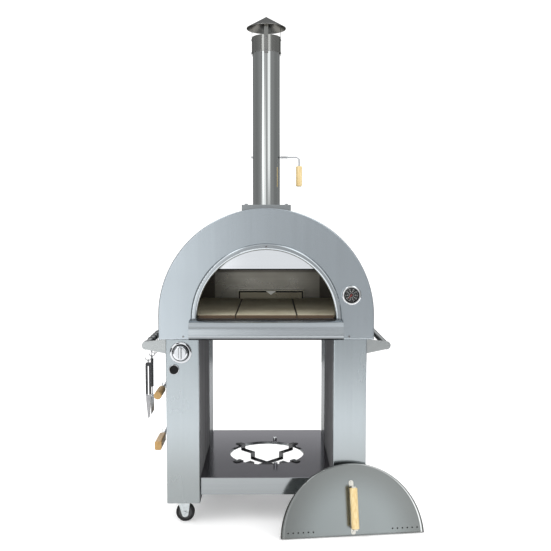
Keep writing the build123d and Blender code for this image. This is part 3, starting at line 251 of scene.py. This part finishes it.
# Stretch of space that draws a noise out along one axis: broad bands, and the fine grain.
DRAWN = {"X": (1.2, 90, 90), "Y": (90, 1.2, 90), "Z": (90, 90, 1.2)}
GRAIN = {"X": (12, 1400, 1400), "Y": (1400, 12, 1400), "Z": (1400, 1400, 12)}

# The levels that hold most of a noise.
LOW = 0.3
HIGH = 0.7

# How bright steel stays where it is seen edge on: brushed, and on the inner panels.
BRUSHED_GLANCE = 0.35
INNER_PANEL_GLANCE = 0.1

# Depths of relief, radii of softened edges, and the width over which one finish turns into another.
HAIRLINE = 0.0002
SCRATCH = 0.0003
FOLD = 0.0012
SMALL_FOLD = 0.0006
BORDER = 0.0005

CHROME = (0.70, 0.71, 0.73)
SHADE_AND_ARC_BLACK = (0.03, 0.03, 0.03)
PAINTED_SHADE_BLACK = (0.02, 0.02, 0.02)


def shade(colour, factor):
    """A colour made lighter or darker."""
    return tuple(min(1, factor * c) for c in colour)


def grey(level):
    """A grey for a colour input."""
    return (level, level, level, 1)


def middle(box):
    """Middle of a box."""
    low, high = box
    return (low + high) / 2


class Look(Nodes):
    """A material under construction."""

    def __init__(self, name, colour=(0.5, 0.5, 0.5), metallic=0.0, roughness=0.5):
        self.material = bpy.data.materials.new(name)
        self.material.use_nodes = True
        super().__init__(self.material.node_tree)
        self.surface = self.tree.nodes["Principled BSDF"]
        self.set("Base Color", (*colour, 1))
        self.set("Metallic", metallic)
        self.set("Roughness", roughness)

    def set(self, name, value):
        """Fix one value on the shader, or link a node's output to it."""
        self.fill(self.surface.inputs[name], value)

    def current(self, name):
        """The output that feeds one value of the shader so far."""
        return self.surface.inputs[name].links[0].from_socket

    def point(self):
        """The surface point in the row frame."""
        return self.node("TexCoord", output="Object")

    def axis(self, name):
        """One coordinate of the surface point, in metres."""
        return self.part(self.point(), name)

    def place(self, scale=(1, 1, 1), shift=(0, 0, 0)):
        """The surface point, moved and stretched."""
        return self.node("Mapping", {"Vector": self.point(), "Scale": scale, "Location": shift})

    def polar(self, centre):
        """Distance and angle of the surface point round an axis along Y."""
        right = self.maths("SUBTRACT", self.axis("X"), centre.x)
        up = self.maths("SUBTRACT", self.axis("Z"), centre.z)
        reach = self.maths("SQRT", self.total(self.product(right, right), self.product(up, up)))
        return reach, self.maths("ARCTAN2", up, right)

    def noise(self, scale, stretch=(1, 1, 1), detail=3.0, shift=(0, 0, 0)):
        """Noise value with its own stretch of space."""
        where = self.place(stretch, shift)
        return self.node("TexNoise", {"Vector": where, "Scale": scale, "Detail": detail}, output="Fac")

    def mix(self, factor, first, second):
        """Blend of two colours, each a tuple or an output."""
        made = self.tree.nodes.new("ShaderNodeMix")
        made.data_type = "RGBA"
        self.fill(made.inputs[0], factor)
        for socket, value in ((made.inputs[6], first), (made.inputs[7], second)):
            self.fill(socket, (*value, 1) if isinstance(value, tuple) else value)
        return made.outputs[2]

    def cover(self, mask, colour):
        """Lay a colour over the present one where the mask is one."""
        self.set("Base Color", self.mix(mask, self.current("Base Color"), colour))

    def bump(self, height, strength, distance, edge=0.0):
        """Relief from a height, over edges softened by a small radius."""
        inputs = {"Height": height, "Strength": strength, "Distance": distance}
        if edge:
            inputs["Normal"] = self.node("Bevel", {"Radius": edge}, samples=4)
        self.set("Normal", self.node("Bump", inputs))


# ---------------------------------------------------------------- steels

def brushed(name, colour, roughness, along, streak=0.05):
    """Brushed stainless steel with its grain along one axis, faint smudges and edges dark at a glance."""
    look = Look(name, colour, 1.0, roughness)
    look.set("Specular Tint", grey(BRUSHED_GLANCE))
    drawn = look.noise(1.0, DRAWN[along], 4.0)
    smudge = look.noise(5.0, detail=1.5, shift=(0.3, 0.7, 0.1))
    tone = look.mix(look.ramp(drawn, LOW, HIGH), shade(colour, 1 - streak), shade(colour, 1 + streak))
    look.set("Base Color", look.mix(look.ramp(smudge, 0.52, 0.72, 0, 0.35), tone, shade(colour, 0.94)))
    look.set("Roughness", look.total(look.ramp(drawn, LOW, HIGH, roughness - 0.004, roughness + 0.004),
                                     look.ramp(smudge, 0.5, 0.75, 0, 0.02)))
    look.bump(look.noise(1.0, GRAIN[along], 2.0), 0.012, HAIRLINE, FOLD)
    return look


def shelf_steel(name):
    """Steel of the shelf: its top painted a lighter tone than its lips, a painted reflection."""
    look = brushed(name, (0.34, 0.36, 0.37), 0.13, "X")
    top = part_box("shelf_pan")[1].z
    top_reflection = look.ramp(look.axis("Z"), top - 0.003, top - 0.001)
    # Painted reflection: the top of the shelf gets its own lighter tone.
    look.cover(top_reflection, (0.43, 0.42, 0.445))
    return look


def leg_steel(name):
    """Steel of the pedestals, with painted shade darkening it towards the foot."""
    look = brushed(name, (0.46, 0.505, 0.53), 0.26, "Z", 0.03)
    full_shade_below, unshaded_above = 0.16, 0.44
    foot = look.ramp(look.axis("Z"), full_shade_below, unshaded_above, 1.0, 0.0, smooth=True)
    # Painted shade, darkest below the lower level and gone above the upper one.
    look.cover(foot, (0.33, 0.355, 0.36))
    return look


def apron_steel(name):
    """Steel of the apron, with the turned-under lower edge in shade."""
    look = brushed(name, (0.58, 0.62, 0.65), 0.22, "X", 0.03)
    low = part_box("landing_apron")[0].z
    turn_height = 0.026
    under = look.ramp(look.axis("Z"), low, low + turn_height, 1.0, 0.0, smooth=True)
    look.cover(under, (0.08, 0.085, 0.09))
    return look


def cap_steel(name):
    """Rain cap: weathered steel, with painted shade darkening its underside."""
    look = brushed(name, (0.50, 0.50, 0.49), 0.28, "X", 0.08)
    upward = look.part(look.node("NewGeometry", output="Normal"), "Z")
    # Painted shade on the faces that look downward.
    look.cover(look.ramp(upward, -0.05, 0.05, 1.0, 0.0), (0.20, 0.195, 0.18))
    return look


def baffle_steel(name):
    """Mirror-bright baffle lit by a painted glow, with a painted shadow line along its folded lower edge.
    """
    look = brushed(name, (0.93, 0.95, 0.98), 0.08, "X", 0.02)
    fold_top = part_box("smoke_baffle")[0].z + 0.004
    glow = 0.27
    above = look.ramp(look.axis("Z"), fold_top, fold_top + 0.001)
    # Painted shadow line below the fold.
    look.cover(look.opposite(above), PAINTED_SHADE_BLACK)
    # Painted glow above the fold, though the baffle is no lamp.
    look.set("Emission Color", (0.93, 0.96, 1.0, 1))
    look.set("Emission Strength", look.product(above, glow))
    return look


def inner_steel(name):
    """Inner side panels: steel painted dark with little shine, a painted reflection of the dark
    surroundings they mirror.
    """
    look = Look(name, metallic=0.08)
    look.set("Specular Tint", grey(INNER_PANEL_GLANCE))
    look.set("Specular IOR Level", 0.0)
    drawn = look.noise(1.0, DRAWN["Z"], 4.0)
    # Painted dark tones standing in for the dark reflections of the inner panels.
    look.set("Base Color", look.mix(look.ramp(drawn, 0.35, 0.65), (0.15, 0.15, 0.155), (0.21, 0.21, 0.215)))
    look.set("Roughness", look.ramp(drawn, LOW, HIGH, 0.36, 0.46))
    look.bump(look.noise(1.0, GRAIN["Z"], 2.0), 0.03, HAIRLINE)
    return look


def door_steel(name):
    """Door face: painted shade darkening it towards its rim, a painted highlight just inside the rolled rim
    on the right, and painted shade on the rolled edge.
    """
    look = brushed(name, (0.30, 0.325, 0.325), 0.20, "X", 0.01)
    shade_from, shade_to = 0.12, 0.262
    crease_inner, crease_outer = 0.259, 0.264
    rim = 0.2685
    reach = look.node("VectorMath", {0: look.point(), 1: tuple(DOOR_FOOT)}, output="Value",
                      operation="DISTANCE")
    # Painted shade darkening the face towards its rim.
    look.cover(look.ramp(reach, shade_from, shade_to, smooth=True), (0.215, 0.225, 0.22))
    # Painted highlight inside the rolled rim, strongest on the right.
    right_side = look.ramp(look.axis("X"), DOOR_FOOT.x + 0.03, DOOR_FOOT.x + 0.12, 0.15, 1.0)
    rim_highlight = look.band(reach, crease_inner, crease_outer, 0.002)
    look.cover(look.product(rim_highlight, right_side), (0.80, 0.81, 0.80))
    # Painted shade on the rolled edge.
    look.cover(look.ramp(reach, rim, rim + 0.0015), (0.12, 0.12, 0.115))
    return look


def heated(name, pale, dark, top_darkness):
    """Steel of the cooking chamber: faint straw tints between two tones, darker with height."""
    look = Look(name, pale, 1.0)
    cloud = look.noise(4.5, (1, 1, 1.6), 6.0)
    grain = look.noise(1.0, (1.5, 120, 120), 3.0)
    darkening_from, darkest_above = SILL + 0.06, SILL + 0.34
    # Darker with height, from the lower level to the upper one.
    height_darkening = look.ramp(look.axis("Z"), darkening_from, darkest_above, 0.0, top_darkness, smooth=True)
    tint = look.mix(look.ramp(cloud, 0.35, 0.65), pale, dark)
    tint = look.mix(height_darkening, tint, (0.16, 0.15, 0.13))
    look.set("Base Color", look.mix(look.ramp(grain, 0.35, 0.65, 0, 0.3), tint, shade(pale, 1.15)))
    look.set("Roughness", look.ramp(cloud, LOW, HIGH, 0.24, 0.36))
    look.bump(grain, 0.04, SCRATCH, 0.001)
    return look


def back_wall_steel(name):
    """Back wall: bright plate between two dark side bands, with a painted shadow line under the baffle."""
    look = heated(name, (0.40, 0.385, 0.345), (0.32, 0.30, 0.26), 0.3)
    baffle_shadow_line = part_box("smoke_baffle")[0].z - 0.046
    beside = look.ramp(look.off_centre(look.axis("X")), BRIGHT_WALL_HALF, BRIGHT_WALL_HALF + 0.003)
    above = look.ramp(look.axis("Z"), baffle_shadow_line, baffle_shadow_line + 0.010, 0.0, 0.85, smooth=True)
    # Darker side bands, and painted shadow in the band just under the baffle.
    look.cover(look.either(beside, above), (0.13, 0.12, 0.105))
    return look


def hood_steel(name):
    """Burner hood: painted black inside as shade, with a flap behind its slot and a bright pointed tab on
    the flap.
    """
    look = heated(name, (0.44, 0.42, 0.36), (0.36, 0.34, 0.28), 0.0)
    low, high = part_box("burner_box")
    half = (high.x - low.x) / 2
    slot, skin, face, tab_gap = 0.0055, 0.0002, 0.0018, 0.003
    from_middle = look.off_centre(look.axis("X"), (low.x + high.x) / 2)
    height = look.axis("Z")
    flap = look.product(look.ramp(from_middle, half - slot, half - slot + BORDER, 1.0, 0.0),
                        look.ramp(height, high.z - slot, high.z - slot + BORDER, 1.0, 0.0))
    outside = look.either(look.ramp(from_middle, half - skin, half - skin / 2),
                          look.ramp(height, high.z - skin, high.z - skin / 2))
    behind = look.ramp(look.axis("Y"), low.y + face, low.y + face + 0.0002)
    inside = look.product(behind, look.opposite(outside))
    point = look.total(look.product(from_middle, TAB_DROP / TAB_HALF), high.z - tab_gap - TAB_DROP)
    tab = look.product(look.ramp(look.maths("SUBTRACT", height, point), 0.0, BORDER),
                       look.ramp(from_middle, TAB_HALF, TAB_HALF + 0.001, 1.0, 0.0))
    look.cover(flap, (0.37, 0.34, 0.26))
    # Painted shade inside the hood, behind its front face.
    look.cover(inside, (0.02, 0.02, 0.018))
    look.cover(look.product(tab, flap, look.opposite(inside)), (0.98, 0.97, 0.93))
    return look


def polished(name, colour=CHROME, roughness=0.05):
    """Polished or chromed metal with faint hairlines and finger marks."""
    look = Look(name, colour, 1.0)
    marks = look.noise(30.0, detail=5.0)
    look.set("Roughness", look.ramp(marks, 0.4, 0.75, roughness, roughness + 0.12))
    look.bump(look.noise(900.0, (1, 1, 0.1), 2.0), 0.03, HAIRLINE, SMALL_FOLD)
    return look


def bezel_chrome(name):
    """Chrome rings of the knob and the button, with painted shade in the gap inside each; dark arcs on the
    knob's.
    """
    look = polished(name, roughness=0.06)
    knob_gap, button_gap, soft = 0.0335, 0.0175, 0.0004
    track_inner, track_outer = 0.0352, 0.0395
    arcs = ((5, 58), (95, 118), (150, 176))
    fading = radians(3)
    reach, angle = look.polar(middle(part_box("control_knob")))
    button_reach, _ = look.polar(middle(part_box("igniter_button")))
    # Painted shade in the gap inside each ring.
    dark = look.either(look.ramp(reach, knob_gap - soft, knob_gap, 1.0, 0.0),
                       look.ramp(button_reach, button_gap - soft, button_gap, 1.0, 0.0))
    track = look.band(reach, track_inner, track_outer, soft)
    for start, end in arcs:
        arc = look.band(angle, radians(start), radians(end) - fading, fading)
        dark = look.either(dark, look.product(track, arc))
    look.set("Base Color", look.mix(dark, CHROME, SHADE_AND_ARC_BLACK))
    return look


def gauge_chrome(name):
    """Chrome bezel of the thermometer with painted shade on its inner wall."""
    bright = (0.80, 0.81, 0.82)
    wall = 0.0285
    look = polished(name, bright, 0.06)
    reach, _ = look.polar(middle(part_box("thermometer_dial")))
    # Painted shade on the inner wall of the bezel.
    look.set("Base Color", look.mix(look.ramp(reach, wall, wall + BORDER, 1.0, 0.0), bright, PAINTED_SHADE_BLACK))
    return look


def galvanised(name):
    """Zinc-plated pressing with a faint spangle."""
    look = Look(name, metallic=1.0)
    cells = look.node("TexVoronoi", {"Vector": look.place(), "Scale": 260.0}, output="Color")
    spangle = look.node("RGBToBW", {0: cells})
    look.set("Base Color", look.mix(spangle, (0.50, 0.54, 0.55), (0.74, 0.78, 0.79)))
    look.set("Roughness", look.ramp(spangle, 0, 1, 0.28, 0.48))
    look.bump(look.noise(700.0), 0.08, SCRATCH, SMALL_FOLD)
    return look


def brass(name):
    """Machined brass, slightly tarnished."""
    look = Look(name, metallic=1.0)
    cloud = look.noise(40.0, detail=5.0)
    look.set("Base Color", look.mix(look.ramp(cloud, 0.4, 0.7), (0.74, 0.58, 0.30), (0.48, 0.34, 0.17)))
    look.set("Roughness", look.ramp(cloud, LOW, HIGH, 0.22, 0.42))
    return look


# ---------------------------------------------------------------- other materials

def fired_clay(name):
    """Hearth stone: warm beige clay with speckles, pores and dark seams, its front edges painted dark brown
    as shade.
    """
    look = Look(name, roughness=0.85)
    cloud = look.noise(9.0, detail=6.0)
    speck = look.noise(420.0, detail=2.0)
    pores = look.node("TexVoronoi", {"Vector": look.place(), "Scale": 300.0}, output="Distance")
    seam_inner, seam_outer = 0.0025, 0.004
    front_edge = FRONT + 0.0215
    clay = look.mix(look.ramp(cloud, LOW, HIGH), (0.70, 0.65, 0.49), (0.57, 0.51, 0.36))
    clay = look.mix(look.ramp(speck, 0.62, 0.72, 0, 0.55), clay, (0.30, 0.22, 0.14))
    clay = look.mix(look.ramp(speck, 0.36, 0.28, 0, 0.5), clay, (0.78, 0.72, 0.60))
    from_seam = look.off_centre(look.off_centre(look.axis("X")), STONE_SEAM)
    clay = look.mix(look.ramp(from_seam, seam_inner, seam_outer, 0.85, 0.0), clay, (0.06, 0.045, 0.03))
    # Painted shade on the front edges of the stones.
    front = look.ramp(look.axis("Y"), front_edge, front_edge + 0.0025, 1.0, 0.0)
    look.set("Base Color", look.mix(front, clay, (0.10, 0.065, 0.04)))
    look.bump(look.total(pores, speck), 0.35, 0.0006, 0.0008)
    return look


def turned_wood(name, light, dark):
    """Turned upright hardwood with straight grain, darker rings and a coat of varnish."""
    look = Look(name)
    upright = (1, 1, 0.06)
    rings = look.noise(160.0, upright, 5.0)
    fibre = look.noise(1500.0, upright, 2.0)
    tone = look.mix(look.ramp(rings, 0.38, 0.64), light, dark)
    look.set("Base Color", look.mix(look.ramp(fibre, 0.55, 0.8, 0, 0.5), tone, shade(dark, 0.6)))
    look.set("Roughness", look.ramp(fibre, LOW, HIGH, 0.34, 0.52))
    look.set("Coat Weight", 0.5)
    look.set("Coat Roughness", 0.15)
    look.bump(fibre, 0.15, SCRATCH)
    return look


def moulded(name, colour, worn, roughness):
    """Moulded plastic with a fine skin texture and slight wear."""
    look = Look(name)
    look.set("Specular IOR Level", 0.15)
    wear = look.noise(35.0, detail=5.0)
    look.set("Base Color", look.mix(look.ramp(wear, 0.45, 0.75, 0, 0.6), colour, worn))
    look.set("Roughness", look.ramp(wear, LOW, HIGH, roughness - 0.06, roughness + 0.12))
    look.bump(look.noise(900.0), 0.12, 0.0004, 0.0008)
    return look


def blanket_fibre(name):
    """White ceramic fibre wool."""
    look = Look(name, roughness=0.95)
    fluff = look.noise(220.0, (1, 1, 3), 6.0)
    look.set("Base Color", look.mix(look.ramp(fluff, LOW, HIGH), (0.88, 0.87, 0.84), (0.72, 0.70, 0.66)))
    look.bump(fluff, 0.6, 0.002)
    return look


def clear_glass(name):
    """Thin clear dial glass with a little dust."""
    look = Look(name, (1, 1, 1))
    look.set("Transmission Weight", 1.0)
    look.set("IOR", 1.25)
    look.set("Roughness", look.ramp(look.noise(60.0, detail=4.0), 0.5, 0.8, 0.01, 0.08))
    return look


def dial_print(name):
    """Black dial with rings of pale strokes and a pale circle round the hub."""
    look = Look(name, roughness=0.3)
    reach, angle = look.polar(middle(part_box("thermometer_dial")))
    soft = 0.0002

    # Count, half width in radians, inner and outer radius of the strokes in each ring.
    rings = ((30, 0.018, 0.0215, 0.0230), (10, 0.045, 0.0195, 0.0235), (10, 0.10, 0.0140, 0.0165))

    def ring(inner, outer):
        """Mask between two radii."""
        return look.band(reach, inner - soft, outer, soft)

    def spokes(count, half_width):
        """Mask of evenly spaced strokes."""
        from_stroke = look.maths("PINGPONG", angle, pi / count)
        return look.ramp(from_stroke, half_width, half_width + 0.01, 1.0, 0.0)

    face = look.mix(look.ramp(look.noise(300.0), LOW, HIGH), (0.018, 0.018, 0.018), (0.030, 0.030, 0.031))
    for count, half_width, inner, outer in rings:
        face = look.mix(look.product(spokes(count, half_width), ring(inner, outer)), face,
                        (0.80, 0.80, 0.78))
    look.set("Base Color", look.mix(ring(0.0085, 0.0095), face, (0.55, 0.55, 0.54)))
    return look


def paint(name, colour):
    """Thin enamel paint."""
    look = Look(name, roughness=0.35)
    look.set("Base Color", look.mix(look.ramp(look.noise(120.0), LOW, HIGH), colour, shade(colour, 0.8)))
    return look


def shade_sheet(name):
    """Near-black finish of the sheet behind the door's vents, a painted shade."""
    look = Look(name, roughness=0.8)
    look.set("Base Color", look.mix(look.noise(900.0), (0.008, 0.008, 0.008), (0.020, 0.020, 0.019)))
    return look


# ---------------------------------------------------------------- pieces of two materials

# Colour, metallic and roughness of each.
BLACK_GRIP = ((0.025, 0.025, 0.027), 0.0, 0.38)
TOOL_STEEL = ((0.36, 0.36, 0.37), 1.0, 0.20)
TYRE_RUBBER = ((0.008, 0.008, 0.0085), 0.0, 0.7)
HUB_PLASTIC = ((0.06, 0.06, 0.062), 0.0, 0.45)
HANDLE_WOOD = ((0.46, 0.28, 0.10), 0.0, 0.45)


def blend_looks(name, mask_of, first, second):
    """One material that changes from the first kind to the second where the mask is one."""
    look = Look(name)
    mask = mask_of(look)
    (colour_a, metal_a, rough_a), (colour_b, metal_b, rough_b) = first, second
    wear = look.noise(40.0, detail=5.0)
    worn = look.ramp(wear, 0.35, 0.7)
    tone_a = look.mix(worn, colour_a, shade(colour_a, 0.88))
    tone_b = look.mix(worn, colour_b, shade(colour_b, 0.75))
    look.set("Base Color", look.mix(mask, tone_a, tone_b))
    look.set("Metallic", look.ramp(mask, 0, 1, metal_a, metal_b))
    look.set("Roughness", look.total(look.ramp(mask, 0, 1, rough_a, rough_b),
                                     look.ramp(wear, 0.4, 0.7, 0, 0.08)))
    look.bump(look.noise(1100.0, (1, 0.2, 0.2)), 0.15, SCRATCH, SMALL_FOLD)
    return look


def gripped(name, node, grip_end, grip_start):
    """Steel tool whose grip, between two depths below its top, is black plastic."""
    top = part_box(node)[1].z

    def mask(look):
        return look.band(look.axis("Z"), top - grip_end, top - grip_start, BORDER)

    return blend_looks(name, mask, TOOL_STEEL, BLACK_GRIP)


def handled(name, node, handle_length):
    """Steel side tool whose front length is an oiled wooden handle."""
    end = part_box(node)[0].y + handle_length

    def mask(look):
        return look.ramp(look.axis("Y"), end, end + BORDER, 1.0, 0.0)

    return blend_looks(name, mask, TOOL_STEEL, HANDLE_WOOD)


def brush_look(name):
    """Hearth brush: handled like the peel, with a head of wood above dark wire bristles."""
    look = handled(name, "brush", 0.120)
    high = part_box("brush")[1]
    head_length, wood_height = 0.150, 0.0155
    upright = (900, 900, 14)
    head = look.ramp(look.axis("Y"), high.y - head_length, high.y - head_length + BORDER)
    wooden = look.ramp(look.axis("Z"), high.z - wood_height, high.z - wood_height + BORDER)
    strand = look.ramp(look.noise(1.0, upright, 2.0), 0.42, 0.58)
    wire = look.mix(strand, (0.05, 0.045, 0.035), (0.42, 0.36, 0.24))
    look.cover(head, look.mix(wooden, wire, HANDLE_WOOD[0]))
    look.set("Metallic", look.product(look.current("Metallic"), look.opposite(head)))
    look.set("Roughness", look.ramp(head, 0.0, 1.0, 0.28, 0.75))
    return look


def wheel_look(name, node):
    """Black tyre round a dark plastic hub."""
    hub_radius = 0.0258

    def mask(look):
        reach, _ = look.polar(middle(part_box(node)))
        return look.ramp(reach, hub_radius, hub_radius + 0.0004, 1.0, 0.0)

    return blend_looks(name, mask, TYRE_RUBBER, HUB_PLASTIC)


# ---------------------------------------------------------------- pieces that only show

def make_vent_shade_sheet(side):
    """Dark sheet just behind one row of the door's vents, painted shade that makes the vents read dark."""
    half_length, half_height, thick, behind = 0.054, 0.006, 0.0008, 0.0018
    across = Vector((cos(DOOR_YAW), sin(DOOR_YAW), 0))
    upward = Vector((-sin(DOOR_YAW) * sin(DOOR_LEAN), cos(DOOR_YAW) * sin(DOOR_LEAN), cos(DOOR_LEAN)))
    inward = upward.cross(across)
    centre = DOOR_FOOT + across * side * VENT_X + upward * VENT_UP
    corners = []
    for depth in (behind, behind + thick):
        for x, z in ((-1, -1), (1, -1), (1, 1), (-1, 1)):
            corners.append(centre + across * x * half_length + upward * z * half_height + inward * depth)
    faces = [(0, 1, 2, 3), (7, 6, 5, 4), (0, 4, 5, 1), (1, 5, 6, 2), (2, 6, 7, 3), (3, 7, 4, 0)]
    name = "vent_shade_sheet_left" if side < 0 else "vent_shade_sheet_right"
    mesh = bpy.data.meshes.new(name)
    mesh.from_pydata(corners, [], faces)
    piece = bpy.data.objects.new(name, mesh)
    bpy.context.scene.collection.objects.link(piece)
    piece.data.materials.append(shade_sheet(name + "_finish").material)
    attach(piece, "door")


# ---------------------------------------------------------------- what each CAD node gets

def dress(look, *names):
    """Give one material to some CAD nodes."""
    for name in names:
        slots = NODES[name].data.materials
        slots.clear()
        slots.append(look.material)


def dress_steel():
    """Brushed sheets and bars of the body, the stand, the chimney and the door."""
    dress(brushed("steel_front", (0.55, 0.60, 0.64), 0.22, "Z", 0.02), "front_panel")
    dress(brushed("steel_housing", (0.54, 0.57, 0.60), 0.28, "Y"), "outer_housing")
    dress(brushed("steel_back", (0.54, 0.57, 0.60), 0.30, "X"), "back_panel")
    dress(brushed("steel_flange", (0.40, 0.42, 0.43), 0.28, "X"), "flue_flange")
    dress(brushed("steel_pipe", (0.62, 0.635, 0.625), 0.07, "Z", 0.03), "chimney_pipe")
    dress(brushed("steel_pan", (0.40, 0.41, 0.42), 0.34, "X"), "base_pan", "hearth_tray")
    dress(brushed("steel_bracket", (0.48, 0.50, 0.50), 0.26, "X", 0.04), "rail_brackets", "tool_rack")
    dress(brushed("steel_rail", (0.42, 0.43, 0.43), 0.14, "Y", 0.04), "side_rails")
    dress(brushed("steel_strap", (0.42, 0.42, 0.40), 0.18, "Z", 0.06), "cap_straps", "damper_plate")
    dress(brushed("steel_cradle", (0.20, 0.20, 0.205), 0.24, "Z", 0.06), "tank_cradle")
    dress(brushed("steel_trim", (0.60, 0.64, 0.67), 0.12, "Y", 0.02), "mouth_trim")
    dress(apron_steel("steel_apron"), "landing_apron")
    dress(leg_steel("steel_leg"), "left_pedestal", "right_pedestal")
    dress(shelf_steel("steel_shelf"), "shelf_pan")
    dress(cap_steel("steel_cap"), "cap_cone")
    dress(inner_steel("steel_inner"), "inner_side_panels")
    dress(door_steel("steel_door"), "door_panel")


def dress_chamber():
    """What the mouth shows, and the wool behind it."""
    dress(heated("steel_liner", (0.24, 0.23, 0.20), (0.17, 0.155, 0.13), 0.5), "cavity_liner")
    dress(heated("steel_tube", (0.10, 0.095, 0.085), (0.07, 0.065, 0.055), 0.0), "burner_tube")
    dress(back_wall_steel("steel_back_wall"), "cavity_back_wall")
    dress(hood_steel("steel_hood"), "burner_box")
    dress(baffle_steel("steel_baffle"), "smoke_baffle")
    dress(fired_clay("fired_clay"), "hearth_stones")
    dress(blanket_fibre("ceramic_fibre"), "insulation_blanket")


def dress_fittings():
    """Chromed small parts, controls, gas parts, the thermometer and the wooden grips."""
    dress(polished("chrome"), "control_knob", "damper_rod", "flange_bolts", "tank_clamp_screws",
          "valve_stem")
    dress(polished("dark_chrome", (0.34, 0.34, 0.345), 0.06), "spare_hooks", "damper_spring",
          "pan_head_screws")
    dress(polished("bracket_chrome", (0.58, 0.56, 0.51)), "door_bracket")
    dress(bezel_chrome("bezel_chrome"), "control_bezels")
    dress(gauge_chrome("gauge_chrome"), "thermometer_case")
    dress(moulded("button_plastic", (0.006, 0.006, 0.0065), (0.0208, 0.0208, 0.0217), 0.3),
          "igniter_button")
    dress(brass("brass"), "gas_valve", "gas_pipe")
    dress(dial_print("dial_print"), "thermometer_dial")
    dress(paint("pointer_red", (0.45, 0.03, 0.02)), "thermometer_pointer")
    dress(clear_glass("dial_glass"), "thermometer_lens")
    dress(turned_wood("grip_wood", (0.78, 0.63, 0.34), (0.66, 0.48, 0.21)), "door_grip", "damper_grip")


def dress_tools_and_casters():
    """Hanging and lying tools, and the casters with their wheels."""
    dress(gripped("tongs_finish", "tongs", 0.210, 0.0875), "tongs")
    dress(gripped("turner_finish", "turner", 0.198, 0.0855), "turner")
    dress(handled("peel_finish", "peel", 0.115), "peel")
    dress(brush_look("brush_finish"), "brush")
    corners = [f"{end}_{side}" for end in ("front", "rear") for side in ("left", "right")]
    dress(galvanised("galvanised"), "caster_plates", *("caster_fork_" + corner for corner in corners))
    for corner in corners:
        wheel = "caster_wheel_" + corner
        dress(wheel_look(wheel + "_finish", wheel), wheel)


make_camera()
make_world()
make_lamps()
make_floor()
dress_steel()
dress_chamber()
dress_fittings()
dress_tools_and_casters()
make_vent_shade_sheet(-1)
make_vent_shade_sheet(1)
